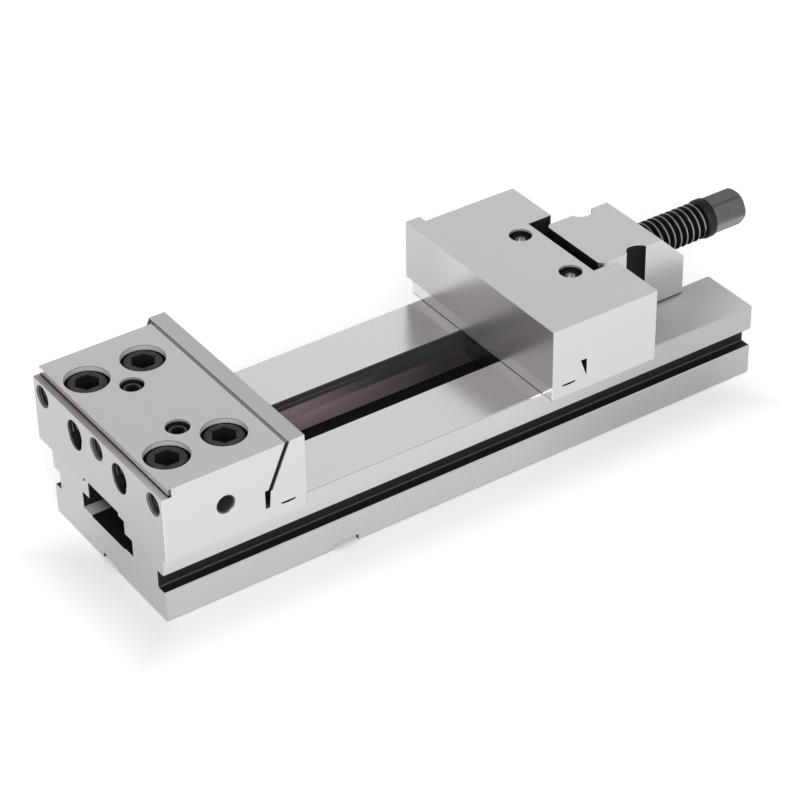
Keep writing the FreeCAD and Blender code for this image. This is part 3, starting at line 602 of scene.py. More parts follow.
class Workshop:
    """Turns bmesh work into finished pieces, and dresses the CAD's own nodes."""

    @staticmethod
    def piece(name: str, mesh: bmesh.types.BMesh, material: bpy.types.Material, body: str,
              slot: str, replaces: Sequence[str] = ()) -> bpy.types.Object:
        """Make a piece that rides on a body.

        Args:
            name: The piece's name.
            mesh: Its shape, in millimetres, in place.
            material: Its material.
            body: The CAD body that it moves with.
            slot: The record's material slot that it stands for; not used.
            replaces: The CAD nodes that it stands for.

        Returns:
            The piece's object.
        """
        bmesh.ops.remove_doubles(mesh, verts=mesh.verts, dist=SAME_POINT)
        bmesh.ops.recalc_face_normals(mesh, faces=mesh.faces)
        bmesh.ops.scale(mesh, vec=Vector((MM, MM, MM)), verts=mesh.verts)
        for face in mesh.faces:
            face.smooth = True
        for edge in mesh.edges:
            edge.smooth = len(edge.link_faces) == 2 and edge.calc_face_angle(0.0) < math.radians(SHARP_EDGE)
        data = bpy.data.meshes.new(name)
        mesh.to_mesh(data)
        mesh.free()
        data.materials.append(material)
        made = bpy.data.objects.new(name, data)
        bpy.context.scene.collection.objects.link(made)
        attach(made, body)
        if replaces:
            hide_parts(*replaces)
        log.info("piece %s: %d faces on %s", name, len(data.polygons), body)
        return made

    @staticmethod
    def dress(node: str, material: bpy.types.Material) -> None:
        """Give a CAD node its material.

        Args:
            node: The node's name.
            material: The material.
        """
        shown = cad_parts[node]
        for place in shown.material_slots:
            place.material = material
        log.info("dressed %s with %s", node, material.name)


@dataclass
class Camera:
    """The camera of the photograph."""

    turn: float = -33.9404
    rise: float = 35.2625
    roll: float = -0.9484
    pixels: float = 2845.56
    sideways: float = 174.008
    upwards: float = 99.016
    away: float = 1690.51
    image: float = 800.0
    sensor: float = 36.0
    nearest: float = 0.05
    farthest: float = 50.0

    def build(self) -> bpy.types.Object:
        """Set the camera up.

        Returns:
            The camera's object.
        """
        a, e, r = (math.radians(v) for v in (self.turn, self.rise, self.roll))
        back = Vector((math.sin(a) * math.cos(e), -math.cos(a) * math.cos(e), math.sin(e)))
        right = Vector((0.0, 0.0, 1.0)).cross(back).normalized()
        up = back.cross(right)
        turned_right = right * math.cos(r) + up * math.sin(r)
        turned_up = up * math.cos(r) - right * math.sin(r)
        place = turned_right * self.sideways + turned_up * self.upwards + back * self.away
        place.x += JAW_END_X
        data = bpy.data.cameras.new("camera")
        data.sensor_width = self.sensor
        data.lens = self.pixels / self.image * data.sensor_width
        data.clip_start, data.clip_end = self.nearest, self.farthest
        made = bpy.data.objects.new("camera", data)
        turned = Matrix((turned_right, turned_up, back)).transposed().to_4x4()
        made.matrix_world = Matrix.Translation(place * MM) @ turned
        bpy.context.scene.collection.objects.link(made)
        bpy.context.scene.camera = made
        return made


@dataclass(frozen=True)
class Lamp:
    """A square soft lamp: its name, place and side in metres, and its power in watts."""

    name: str
    place: tuple[float, float, float]
    size: float
    power: float


@dataclass
class Studio:
    """A white floor, a pale surround and soft lamps at a plain level."""

    floor_size: float = 14.0
    floor_colour: float = 0.82
    foot_middle: tuple[float, float] = (70.0, -30.0)
    foot_half: tuple[float, float] = (198.0, 35.0)
    # The floor's glow is weakest at the vise's foot, which paints shade around it, and grows away from it, which
    # paints light into the lamps' shadow farther off.
    glow_foot: float = 0.16
    glow_near: float = 0.45
    glow_far: float = 0.22
    near_reach: tuple[float, float] = (0.0, 60.0)
    far_reach: tuple[float, float] = (30.0, 300.0)
    fill: float = 0.45
    sky_low: float = 1.0
    sky_high: float = 0.47
    sky_rise: tuple[float, float] = (0.0, 0.9)
    dark_side: float = 0.62
    dark_turn: tuple[float, float] = (-0.5, 0.2)
    dark_rise: tuple[float, float] = (0.2, 0.5)
    dark_tint: Colour = (1.0, 0.86, 0.91)
    lamps: tuple[Lamp, ...] = (
        Lamp("key_lamp", (-0.9, -2.3, 1.6), 1.3, 44.0),
        Lamp("side_lamp", (-2.1, -0.6, 1.2), 1.2, 10.0),
    )
    lamp_aim: tuple[float, float, float] = (0.09, 0.0, 0.05)

    def build(self) -> None:
        """Build the floor, the world and the lamps."""
        self.floor()
        self.world()
        for lamp in self.lamps:
            self.hang(lamp)
        bpy.context.scene.view_settings.view_transform = "Standard"

    @staticmethod
    def seen(s: Shading) -> Wire:
        """Give 1 where the eye looks at the studio, straight or by way of metal or glass.

        Args:
            s: The nodes of the floor's material or of the world.

        Returns:
            The mask.
        """
        ray = s.node("ShaderNodeLightPath")
        straight = s.wire(ray.outputs["Is Camera Ray"])
        return straight | s.wire(ray.outputs["Is Glossy Ray"]) | s.wire(ray.outputs["Is Transmission Ray"])

    def floor(self) -> None:
        """Lay the floor, which looks white and keeps the shadow, with a glow that is weakest at the vise's foot as
        painted shade there.
        """
        mesh = bmesh.new()
        bmesh.ops.create_grid(mesh, x_segments=1, y_segments=1, size=self.floor_size / 2)
        data = bpy.data.meshes.new("floor")
        mesh.to_mesh(data)
        mesh.free()
        s = Shading.of_material("floor_white")
        x, y, _ = s.place()
        (middle_x, middle_y), (half_x, half_y) = self.foot_middle, self.foot_half
        away = (abs(x - middle_x) - half_x) | (abs(y - middle_y) - half_y)
        near = away.ramp(*self.near_reach, self.glow_foot, self.glow_near)
        far = away.ramp(*self.far_reach, 0.0, self.glow_far)
        strength = self.seen(s) * (near + far)
        albedo = self.floor_colour
        matt = s.node("ShaderNodeBsdfDiffuse", None, {"Color": (albedo, albedo, albedo, 1.0)})
        glow = s.node("ShaderNodeEmission", None, {"Color": (1.0, 1.0, 1.0, 1.0), "Strength": strength})
        both = s.node("ShaderNodeAddShader", None, {0: matt.outputs[0], 1: glow.outputs[0]})
        s.node("ShaderNodeOutputMaterial", None, {0: both.outputs[0]})
        data.materials.append(s.owner)
        made = bpy.data.objects.new("floor", data)
        bpy.context.scene.collection.objects.link(made)

    def world(self) -> None:
        """Light the surround: white at the horizon, darker upwards and most on its left, and even as a light."""
        world = bpy.data.worlds.new("surround")
        s = Shading(world)
        direction = s.node("ShaderNodeTexCoord").outputs["Generated"]
        split = s.node("ShaderNodeSeparateXYZ", None, {0: direction})
        along, up = s.wire(split.outputs[0]), s.wire(split.outputs[2])
        dark = along.ramp(*self.dark_turn, self.dark_side, 0.0) * up.ramp(*self.dark_rise)
        sky = up.ramp(*self.sky_rise, self.sky_low, self.sky_high) * (1.0 - dark)
        seen = self.seen(s)
        strength = seen * sky + (1.0 - seen) * self.fill
        tint = s.colour(seen * dark, (1.0, 1.0, 1.0), self.dark_tint)
        glow = s.node("ShaderNodeBackground", None, {"Color": tint, "Strength": strength})
        s.node("ShaderNodeOutputWorld", None, {0: glow.outputs[0]})
        bpy.context.scene.world = world

    def hang(self, lamp: Lamp) -> None:
        """Hang a lamp that points at the vise.

        Args:
            lamp: The lamp.
        """
        data = bpy.data.lights.new(lamp.name, "AREA")
        data.size = lamp.size
        data.energy = lamp.power
        made = bpy.data.objects.new(lamp.name, data)
        made.location = lamp.place
        aim = Vector(self.lamp_aim) - Vector(lamp.place)
        made.rotation_euler = aim.to_track_quat("-Z", "Y").to_euler()
        bpy.context.scene.collection.objects.link(made)


class Lathe:
    """Turns and joins round shapes about an axis along the vise."""

    def __init__(self, height: float, steps: int = 64) -> None:
        """Choose the axis.

        Args:
            height: The axis's height above the bed's underside, in millimetres.
            steps: How many faces go round.
        """
        self.mesh = bmesh.new()
        self.height = height
        self.steps = steps

    def turned(self, outline: Sequence[tuple[float, float]]) -> None:
        """Turn an outline of (x, radius) points, whose ends are on the axis or the shape's holes.

        Args:
            outline: The points, in order.
        """
        start = [self.mesh.verts.new((x, 0.0, self.height + r)) for x, r in outline]
        edges = [self.mesh.edges.new(pair) for pair in zip(start, start[1:])]
        bmesh.ops.spin(self.mesh, geom=start + edges, cent=(0.0, 0.0, self.height), axis=(1.0, 0.0, 0.0),
                       angle=math.tau, steps=self.steps, use_merge=True)

    def ridge(self, section: Sequence[tuple[float, float]], pitch: float, turns: float, fade: float) -> None:
        """Wind a thread's ridge about the axis as a right-hand helix.

        Args:
            section: The ridge's closed section at its start, as (x, radius) points.
            pitch: How far one turn moves it along.
            turns: How many turns it has.
            fade: Over how many turns it sinks away at each end.
        """
        per_turn = self.steps
        steps = round(turns * per_turn)
        start = [self.mesh.verts.new((x, 0.0, self.height + r)) for x, r in section]
        face = self.mesh.faces.new(start)
        bmesh.ops.spin(self.mesh, geom=[face, *face.edges, *start], cent=(0.0, 0.0, self.height),
                       axis=(1.0, 0.0, 0.0), dvec=(pitch / per_turn, 0.0, 0.0),
                       angle=math.tau * steps / per_turn, steps=steps, use_duplicate=False)
        inner, least, ahead, above = min(r for _, r in section), 0.02, 0.1, 0.01
        base = sum(x for x, _ in section) / len(section)
        for vert in self.mesh.verts:
            if not vert.is_valid or vert.tag:
                continue
            spoke = Vector((0.0, vert.co.y, vert.co.z - self.height))
            along = (vert.co.x - base) / pitch
            rise = min(1.0, max(0.0, along / fade + ahead), max(0.0, (turns - along) / fade + ahead))
            if spoke.length > inner + above and rise < 1.0:
                new = inner + (spoke.length - inner) * max(least, rise)
                spoke = spoke * (new / spoke.length)
                vert.co.y, vert.co.z = spoke.y, spoke.z + self.height


OXIDE = Finish((0.004, 0.0036, 0.005), 0.42, 0.1)
# A painted highlight on the thread's crests.
CREST_HIGHLIGHT = Finish((0.30, 0.29, 0.30), 0.35, 0.7)
COLLAR = Finish((0.022, 0.019, 0.024), 0.4, 0.2)


@dataclass
class SpindleSizes:
    """The spindle's sizes in millimetres, as in the CAD."""

    height: float = SPINDLE_Z
    nose_start: float = 188.0
    nose_radius: float = 10.95
    neck_start: float = 201.4
    neck_radius: float = 7.5
    thread_start: float = 208.0
    crest: float = 12.5
    root: float = 10.0
    pitch: float = 5.0
    collar_start: float = 319.0
    collar_radius: float = 13.2
    hexagon_start: float = 325.5
    hexagon_end: float = 350.5
    across_flats: float = 22.0
    end_radius: float = 10.9
    end_round: float = 2.4
    edge_break: float = 0.6
    collar_steps: tuple[float, float] = (0.5, 1.5)
    collar_break: float = 0.3
    root_cover: float = 0.3
    ridge_steps: tuple[float, ...] = (0.1, 1.55, 1.75, 2.35, 2.55, 4.0)
    crest_break: float = 0.15
    run_out: float = 3.6
    faded_turns: float = 0.2
    corner_break: float = 0.25


class Spindle:
    """The screw spindle with its thread, collar and hexagon."""

    def __init__(self, sizes: SpindleSizes, steel: TurnedSteel) -> None:
        """Keep the sizes and the finish.

        Args:
            sizes: The spindle's sizes.
            steel: Its finish.
        """
        self.sizes = sizes
        self.steel = steel

    def build(self) -> None:
        """Build the spindle in place of its CAD node."""
        z = self.sizes
        lathe = Lathe(z.height)
        first, second = z.collar_steps
        lathe.turned([
            (z.nose_start, 0.0), (z.nose_start, z.nose_radius - z.edge_break),
            (z.nose_start + z.edge_break, z.nose_radius),
            (z.neck_start, z.nose_radius), (z.neck_start, z.neck_radius), (z.thread_start, z.neck_radius),
            (z.thread_start, z.root), (z.collar_start, z.root), (z.collar_start, z.collar_radius - second),
            (z.collar_start + first, z.collar_radius - z.edge_break), (z.collar_start + second, z.collar_radius),
            (z.hexagon_start - z.collar_break, z.collar_radius),
            (z.hexagon_start, z.collar_radius - z.collar_break), (z.hexagon_start, 0.0),
        ])
        for vert in lathe.mesh.verts:
            vert.tag = True
        deep, broken = z.root - z.root_cover, z.crest - z.crest_break
        section = [(z.thread_start + step, radius)
                   for step, radius in zip(z.ridge_steps, (deep, broken, z.crest, z.crest, broken, deep))]
        turns = (z.collar_start - z.thread_start - z.run_out) / z.pitch
        lathe.ridge(section, z.pitch, turns, z.faded_turns)
        self.hexagon(lathe.mesh)
        zones = (
            Hollow(OXIDE, (z.nose_start - 1.0, -20.0, z.height - 20.0),
                   (z.hexagon_start + 0.2, 20.0, z.height + 20.0)),
            # A painted highlight on the thread's crests, over the oxide.
            Crest(CREST_HIGHLIGHT, z.height, z.crest - 0.25, z.thread_start, z.collar_start - 0.4),
            Crest(COLLAR, z.height, z.root + 1.0, z.collar_start - 0.1, z.hexagon_start + 0.1),
        )
        Workshop.piece("spindle_screw", lathe.mesh, self.steel.material(zones), "spindle", "dark_steel",
                       ["spindle"])

    def hexagon_radius(self, x: float, angle: float) -> float:
        """Give the hexagon's radius, which a turned rounding holds back at its end.

        Args:
            x: Where along the spindle.
            angle: The angle from the middle of a flat.

        Returns:
            The radius in millimetres.
        """
        z = self.sizes
        flat = (angle + math.pi / 6) % (math.pi / 3) - math.pi / 6
        corner = z.across_flats / math.sqrt(3.0) - z.corner_break
        radius = min(z.across_flats / 2 / math.cos(flat), corner)
        past = max(0.0, x - (z.hexagon_end - z.end_round)) / z.end_round
        return min(radius, z.end_radius + (corner - z.end_radius) * math.sqrt(max(0.0, 1.0 - past * past)))

    def hexagon(self, mesh: bmesh.types.BMesh) -> None:
        """Add the hexagon, ring by ring.

        Args:
            mesh: The spindle's mesh.
        """
        z = self.sizes
        around, bends = 96, 10
        bend = z.hexagon_end - z.end_round
        stations = [z.hexagon_start, bend] + [bend + z.end_round * math.sin(math.pi / 2 * k / bends)
                                              for k in range(1, bends + 1)]
        rings = []
        for x in stations:
            ring = []
            for k in range(around):
                angle = math.tau * k / around
                radius = self.hexagon_radius(x, angle)
                ring.append(mesh.verts.new((x, radius * math.sin(angle), z.height + radius * math.cos(angle))))
            rings.append(ring)
        for near, far in zip(rings, rings[1:]):
            for k in range(around):
                n = (k + 1) % around
                mesh.faces.new((near[k], near[n], far[n], far[k]))
        mesh.faces.new(rings[0])
        mesh.faces.new(rings[-1])


# Tones of the ground steel face by face. The bed's top is ground finer and painted lighter. The sides, ends and
# fronts of the bed, jaws, plates and nut block are painted darker as painted shade. The bed's rear top fades into a
# rougher finish with painted shade near the nut block, and into a painted lit patch at its far end. The bed's sides
# fade into painted shade towards the rear, and the moving plate's front fades into painted shade towards its far
# side.
BED_TOP_LIT = Finish((0.98, 0.97, 0.98), 0.21, 0.93)
BED_REAR_SHADE = Finish((0.53, 0.51, 0.525), 0.45, 0.4)
BED_REAR_LIT = Finish((0.76, 0.745, 0.765), 0.4, 0.4)
BED_SIDE_SHADE = Finish((0.61, 0.598, 0.607), 0.26, 0.85)
BED_SIDE_REAR_SHADE = Finish((0.48, 0.468, 0.482), 0.26, 0.85)
PLATE_TOP = Finish((0.66, 0.64, 0.635), 0.3, 0.85)
BED_END_SHADE = Finish((0.53, 0.518, 0.525), 0.3, 0.8)
JAW_END_SHADE = Finish((0.50, 0.487, 0.49), 0.3, 0.8)
JAW_SIDE_SHADE = Finish((0.64, 0.632, 0.64), 0.26, 0.85)
PLATE_FRONT_SHADE = Finish((0.69, 0.665, 0.675), 0.26, 0.85)
PLATE_FRONT_FAR_SHADE = Finish((0.53, 0.52, 0.525), 0.26, 0.85)
# Painted light, shade, reflections and highlights in the bed's hollows: painted light on the ledge at the bed's end,
# and a painted highlight along the side slots' inner corner. There is painted shade in the keyways and on the
# channel's walls and ledges, and the floor's painted reflection shows as brown and pink bands on the channel's
# walls. Painted highlight lines run along those walls, and painted light falls on the ledges near the fixed jaw.
LEDGE_END_LIT = Finish((0.66, 0.65, 0.66), 0.4, 0.3)
SLOT_CORNER_HIGHLIGHT = Finish((0.14, 0.13, 0.14), 0.4, 0.3)
KEYWAY_SHADE = Finish((0.05, 0.048, 0.05), 0.45, 0.2)
RAIL_WALL_SHADE = Finish((0.06, 0.059, 0.06), 0.45, 0.3)
WALL_BROWN_REFLECTION = Finish((0.075, 0.062, 0.068), 0.45, 0.3)
WALL_LINE_HIGHLIGHT = Finish((0.30, 0.28, 0.29), 0.4, 0.3)
WALL_PINK_REFLECTION = Finish((0.50, 0.40, 0.45), 0.4, 0.3)
LEDGE_SHADE = Finish((0.12, 0.10, 0.11), 0.35, 0.5)
LEDGE_LIT = Finish((0.50, 0.40, 0.455), 0.35, 0.5)
NUT_SIDE_SHADE = Finish((0.64, 0.62, 0.635), 0.3, 0.85)
# Painted shade on the rear step's floor and riser, with painted light on the floor's near part.
STEP_FLOOR_SHADE = Finish((0.44, 0.385, 0.375), 0.35, 0.6)
STEP_FLOOR_LIT = Finish((0.66, 0.64, 0.63), 0.35, 0.6)
STEP_RISER_SHADE = Finish((0.11, 0.10, 0.095), 0.4, 0.5)
# Painted shade in the holes and on their chamfered mouths.
HOLE_SHADE = Finish((0.009, 0.008, 0.009), 0.6)
MOUTH_SHADE = Finish((0.12, 0.115, 0.115), 0.45, 0.3)
SEAM = Finish((0.06, 0.057, 0.060), 0.45, 0.1)
STRIP_TOP = Finish((0.34, 0.33, 0.335), 0.45, 0.1)
# A painted lit band on the upper walls of the lock screws' recesses, and a painted highlight on their sockets' rims.
# Painted glints sit on the threads' lines in holes and in the moving jaw's screw sockets, and painted shade runs
# along the bed's foot.
LIT_SCREW_WALL = Finish((0.34, 0.335, 0.335), 0.45, 0.1)
SOCKET_RIM_HIGHLIGHT = Finish((0.10, 0.098, 0.10), 0.4, 0.3)
THREAD_GLINTS = Finish((0.26, 0.25, 0.25), 0.35, 0.5)
FOOT_EDGE_SHADE = Finish((0.20, 0.19, 0.195), 0.4, 0.3)
SOCKET_GLINT = Finish((0.75, 0.74, 0.75), 0.12, 1.0)


def in_channel(finish: Finish, half_width: float, low: float, high: float, **more: Any) -> Hollow:
    """Make a zone as long as the bed and this wide to each side of its middle.

    Args:
        finish: The zone's finish.
        half_width: How far it reaches to each side.
        low: Its lower end.
        high: Its upper end.
        more: The zone's fade.

    Returns:
        The zone.
    """
    return Hollow(finish, (BED_START + 2 * SKIN, -half_width, low), (BED_STOP - 2 * SKIN, half_width, high), **more)


class Bed:
    """The slotted bed: ground steel painted lighter and darker face by face, black in its side slots, and with
    painted shade, reflections and highlights in its channel, slots and keyways.
    """

    top = (BED_START - 0.5, -BED_SIDE_Y - 1.0), (BED_STOP + 0.5, BED_SIDE_Y + 1.0)
    side = (BED_START - 0.5, 0.0), (BED_STOP + 0.5, BED_TOP_Z)
    slot_start, slot_stop = BED_START + SKIN, BED_STOP - SKIN
    wall_y, undercut_y, relief_y, keyway_y = 21.1, 29.6, 19.6, 9.03
    floor_z, ledge_z, keyway_z = 24.9, 31.0, 4.03
    seen_stop = -36.0
    zones = (
        # The top is painted lighter, its rear fading into painted shade near the nut block and into a painted lit
        # patch at the far end. The sides are painted darker, and darker still towards the rear, and the end is
        # painted darker.
        on_face(BED_TOP_LIT, Axis.UP, BED_TOP_Z, *top),
        on_face(BED_REAR_SHADE, Axis.UP, BED_TOP_Z, (150.0, top[0][1]), top[1], fade=(222.0, 160.0)),
        on_face(BED_REAR_LIT, Axis.UP, BED_TOP_Z, (222.0, top[0][1]), top[1], fade=(312.0, 245.0)),
        on_face(BED_SIDE_SHADE, Axis.ACROSS, BED_SIDE_Y, *side, both_sides=True),
        on_face(BED_SIDE_REAR_SHADE, Axis.ACROSS, BED_SIDE_Y, *side, both_sides=True, fade=(230.0, 110.0)),
        on_face(BED_END_SHADE, Axis.ALONG, BED_START, (-BED_SIDE_Y - 1.0, 0.0), (BED_SIDE_Y + 1.0, BED_TOP_Z + 0.5)),
        # Painted shade along the sides' foot on the floor; the side slots' own black, with a painted highlight along
        # their inner corner.
        Hollow(FOOT_EDGE_SHADE, (BED_START + 2 * SKIN, 64.3, -0.1), (BED_STOP - 2 * SKIN, 65.1, 0.75), both_sides=True),
        Hollow(SLOT_BLACK, (slot_start, 57.2, 20.9), (slot_stop, 64.36, 33.6), both_sides=True),
        Hollow(SLOT_CORNER_HIGHLIGHT, (slot_start, 57.2, 20.9), (slot_stop, 58.4, 21.5), both_sides=True),
        # The channel: painted shade on its walls, ledges and relief, the floor's painted reflection as brown and
        # pink bands on its walls, painted highlight lines, and painted light on the ledges near the fixed jaw.
        in_channel(RAIL_WALL_SHADE, undercut_y, 25.02, BED_TOP_Z - 0.01),
        in_channel(WALL_BROWN_REFLECTION, wall_y, 43.6, 46.6),
        in_channel(WALL_LINE_HIGHLIGHT, wall_y, 46.6, 46.9, fade=(40.0, 110.0)),
        in_channel(WALL_PINK_REFLECTION, wall_y, 36.8, 43.6, fade=(-20.0, 95.0)),
        in_channel(LEDGE_SHADE, undercut_y, floor_z, ledge_z),
        in_channel(LEDGE_LIT, undercut_y, floor_z, ledge_z, fade=(10.0, 150.0)),
        in_channel(BLACK_SHADE, relief_y, 11.0, 24.97),
        Hollow(WALL_LINE_HIGHLIGHT, (BED_START + 2 * SKIN, 19.4, floor_z), (BED_STOP - 2 * SKIN, 19.9, 25.1),
               both_sides=True, fade=(60.0, 150.0)),
        # Painted shade in the channel under the fixed jaw, painted light on the ledge at the bed's end, and painted
        # shade in the keyways.
        Hollow(DEEP_SHADE, (BED_START + 2 * SKIN, -undercut_y, 23.0), (seen_stop, undercut_y, BED_TOP_Z - 0.05)),
        Hollow(LEDGE_END_LIT, (BED_START + 2 * SKIN, relief_y, floor_z), (-90.0, undercut_y, 25.1),
               fade=(-123.5, -106.0)),
        Hollow(KEYWAY_SHADE, (slot_start, -keyway_y, 0.1), (slot_stop, keyway_y, keyway_z)),
        Hollow(KEYWAY_SHADE, (-keyway_y, -BED_SIDE_Y + SKIN, 0.1), (keyway_y, BED_SIDE_Y - SKIN, keyway_z)),
    )

    def build(self) -> None:
        """Dress the bed."""
        steel = GroundSteel("bed_ground_steel", lines=Axis.ALONG)
        Workshop.dress("bed", steel.material(self.zones))


END_HOLES_START, END_HOLES_STOP = JAW_END_X + 0.05, -60.0
BOLTS = Places((-87.5, 0.0), (19.0, 46.0))
FIXED_LOCKS = Places((-87.5, 0.0), (0.0, 26.0))
OUTER_TAPS = Places((0.0, 86.5), (64.5, 0.0))
MIDDLE_TAP = Places((0.0, 86.5))
ROD_MOUTHS = Places((0.0, 82.5), (26.0, 0.0))
ROD_MOUTH_FEET = Places((0.0, 78.5), (26.0, 0.0))
SIDE_TAPS = Places((-86.5, 75.0))


def end_taps(places: Places) -> tuple[Bore, ...]:
    """Make the zones of tapped holes in the fixed jaw's end.

    Args:
        places: Where the holes are.

    Returns:
        The zones of painted shade on their mouths and in their bores, and of painted glints on their threads' lines.
    """
    return (Bore(MOUTH_SHADE, Axis.ALONG, places, 7.4, END_HOLES_START, END_HOLES_STOP),
            Bore(HOLE_SHADE, Axis.ALONG, places, 6.3, -126.6, END_HOLES_STOP),
            Bore(THREAD_GLINTS, Axis.ALONG, places, 6.3, -126.2, END_HOLES_STOP, 2.0))


class FixedJaw:
    """The bolted jaw at the bed's end, with its plate, seat strip and screws."""

    zones = (
        # The sides and the end painted darker as painted shade.
        on_face(JAW_SIDE_SHADE, Axis.ACROSS, JAW_SIDE_Y, (-128.0, 50.0), (-32.0, JAW_TOP_Z), both_sides=True),
        on_face(JAW_END_SHADE, Axis.ALONG, JAW_END_X, (-JAW_PAST_Y, 50.0), (JAW_PAST_Y, 97.2)),
        # The screws' recesses: painted shade below a painted lit band under the rim.
        *recess(LIT_WALL, BOLTS, 14.2, 97.6, 100.6),
        *recess(LIT_SCREW_WALL, FIXED_LOCKS, 7.7, 99.5, 100.7),
        # The holes in the end and side: painted shade in their bores and on their mouths, with painted glints on
        # their threads' lines.
        *end_taps(OUTER_TAPS),
        *end_taps(MIDDLE_TAP),
        Bore(MOUTH_SHADE, Axis.ALONG, ROD_MOUTHS, 8.7, END_HOLES_START, END_HOLES_STOP),
        Bore(MOUTH_SHADE, Axis.ALONG, ROD_MOUTH_FEET, 7.7, END_HOLES_START, END_HOLES_STOP),
        Bore(HOLE_SHADE, Axis.ALONG, ROD_MOUTHS, 8.7, -126.2, END_HOLES_STOP),
        Bore(HOLE_SHADE, Axis.ALONG, ROD_MOUTH_FEET, 7.7, -126.2, END_HOLES_STOP),
        Bore(THREAD_GLINTS, Axis.ALONG, ROD_MOUTHS, 8.7, -125.6, END_HOLES_STOP, 2.5),
        Bore(MOUTH_SHADE, Axis.ACROSS, SIDE_TAPS, 6.4, -74.95, 74.95),
        Bore(HOLE_SHADE, Axis.ACROSS, SIDE_TAPS, 6.0, -74.2, 74.2),
        Bore(THREAD_GLINTS, Axis.ACROSS, SIDE_TAPS, 6.0, -73.6, 73.6, 1.75),
        # Painted shade under the jaw, over the channel.
        Hollow(DEEP_SHADE, (JAW_END_X + 2 * SKIN, -20.7, 50.5), (-36.0, 20.7, 53.7)),
        # The rear step: painted shade on its floor, riser and groove, and painted light on the floor's near part.
        Hollow(STEP_FLOOR_SHADE, (JAW_END_X + SKIN, -JAW_PAST_Y, 94.0), (-121.6, JAW_PAST_Y, 97.3)),
        Hollow(STEP_FLOOR_LIT, (JAW_END_X + SKIN, -JAW_PAST_Y, 94.0), (-121.6, JAW_PAST_Y, 97.3), fade=(-70.0, 30.0),
               fade_along=Axis.ACROSS),
        Hollow(STEP_RISER_SHADE, (-122.95, -JAW_PAST_Y, 97.15), (-121.0, JAW_PAST_Y, JAW_TOP_Z - SKIN)),
        Hollow(BLACK_SHADE, (-122.95, -JAW_PAST_Y, 95.4), (-121.0, JAW_PAST_Y, 97.15)),
        # Painted shade in the pockets and grooves at the plate's foot.
        Hollow(DEEP_SHADE, (-62.5, -JAW_INNER_Y, LEDGE_Z + SKIN), (-45.0, JAW_INNER_Y, 82.9)),
        Hollow(DEEP_SHADE, (-54.3, -JAW_INNER_Y, 82.9), (-43.5, JAW_INNER_Y, JAW_TOP_Z - SKIN)),
        Hollow(DEEP_SHADE, (-51.2, -JAW_INNER_Y, 58.0), (-38.8, JAW_INNER_Y, 59.95)),
        Hollow(DEEP_SHADE, (-49.4, -JAW_OUTER_Y, 58.7), (-40.4, JAW_OUTER_Y, 59.98)),
    )
    plate_zones = (
        # The plate's sides and front painted darker as painted shade, and its hidden inner faces in painted shade.
        on_face(JAW_SIDE_SHADE, Axis.ACROSS, -JAW_SIDE_Y, (-64.0, 59.0), (-32.0, JAW_TOP_Z)),
        Lean(SEAM, (-56.5, 71.3), (-43.5, JAW_TOP_Z), 1.1, 74.8),
        on_face(PLATE_TOP, Axis.UP, JAW_TOP_Z, (-64.0, -JAW_PAST_Y), (-30.0, PLATE_PAST_Y)),
        on_face(PLATE_FRONT_SHADE, Axis.ALONG, FIXED_FACE_X, (-JAW_PAST_Y, LEDGE_Z - SKIN), (PLATE_PAST_Y, JAW_TOP_Z)),
        on_face(JAW_SIDE_SHADE, Axis.ACROSS, PLATE_SIDE_Y, (-64.0, 59.0), (-32.0, JAW_TOP_Z)),
        Hollow(DEEP_SHADE, (-60.0, -JAW_INNER_Y, LEDGE_Z + SKIN), (-33.0, JAW_SIDE_Y, JAW_TOP_Z - SKIN)),
    )
    strip_zones = (
        Hollow(STRIP_TOP, (-64.0, -JAW_PAST_Y, 99.8), (-30.0, JAW_PAST_Y, JAW_TOP_Z + SKIN)),
        Hollow(SEAM, (-64.0, -JAW_PAST_Y, 99.8), (-44.8, JAW_PAST_Y, JAW_TOP_Z + SKIN)),
    )
    # Painted shade in the bolts' sockets.
    bolt_sockets = (Bore(DEEP_SHADE, Axis.UP, BOLTS, 8.3, 60.0, 98.8),)
    lock_sockets = (
        # Painted shade on the lock screws' heads and sockets, with a painted highlight on the sockets' rims.
        Bore(DEEP_SHADE, Axis.UP, FIXED_LOCKS, 8.0, 80.0, 98.5),
        Bore(SOCKET_RIM_HIGHLIGHT, Axis.UP, FIXED_LOCKS, 5.4, 97.0, 98.5),
        Bore(DEEP_SHADE, Axis.UP, FIXED_LOCKS, 4.3, 80.0, 98.5),
    )

    def build(self) -> None:
        """Dress the jaw and its small parts."""
        steel = GroundSteel("fixed_jaw_ground_steel", colour=(0.76, 0.74, 0.742), lines=Axis.ACROSS)
        Workshop.dress("fixed_jaw_body", steel.material(self.zones))
        plate = GroundSteel("fixed_plate_ground_steel", lines=Axis.ACROSS)
        Workshop.dress("fixed_jaw_plate", plate.material(self.plate_zones))
        oxide = BlackSteel("screw_black_oxide")
        Workshop.dress("fixed_jaw_bolts", oxide.material(self.bolt_sockets))
        Workshop.dress("fixed_jaw_lock_screws", oxide.material(self.lock_sockets))
        dark = TurnedSteel("rod_dark_steel", (0.10, 0.098, 0.10), 0.35).material()
        Workshop.dress("fixed_jaw_draw_rods", dark)
        Workshop.dress("fixed_jaw_keys", TurnedSteel("key_steel", (0.28, 0.27, 0.27), 0.35).material())
        strip = TurnedSteel("strip_steel", (0.07, 0.067, 0.069), 0.45, 0.1)
        Workshop.dress("fixed_jaw_seat_strip", strip.material(self.strip_zones))


MOVING_LOCKS = Places((195.5, 0.0), (0.0, 26.0))


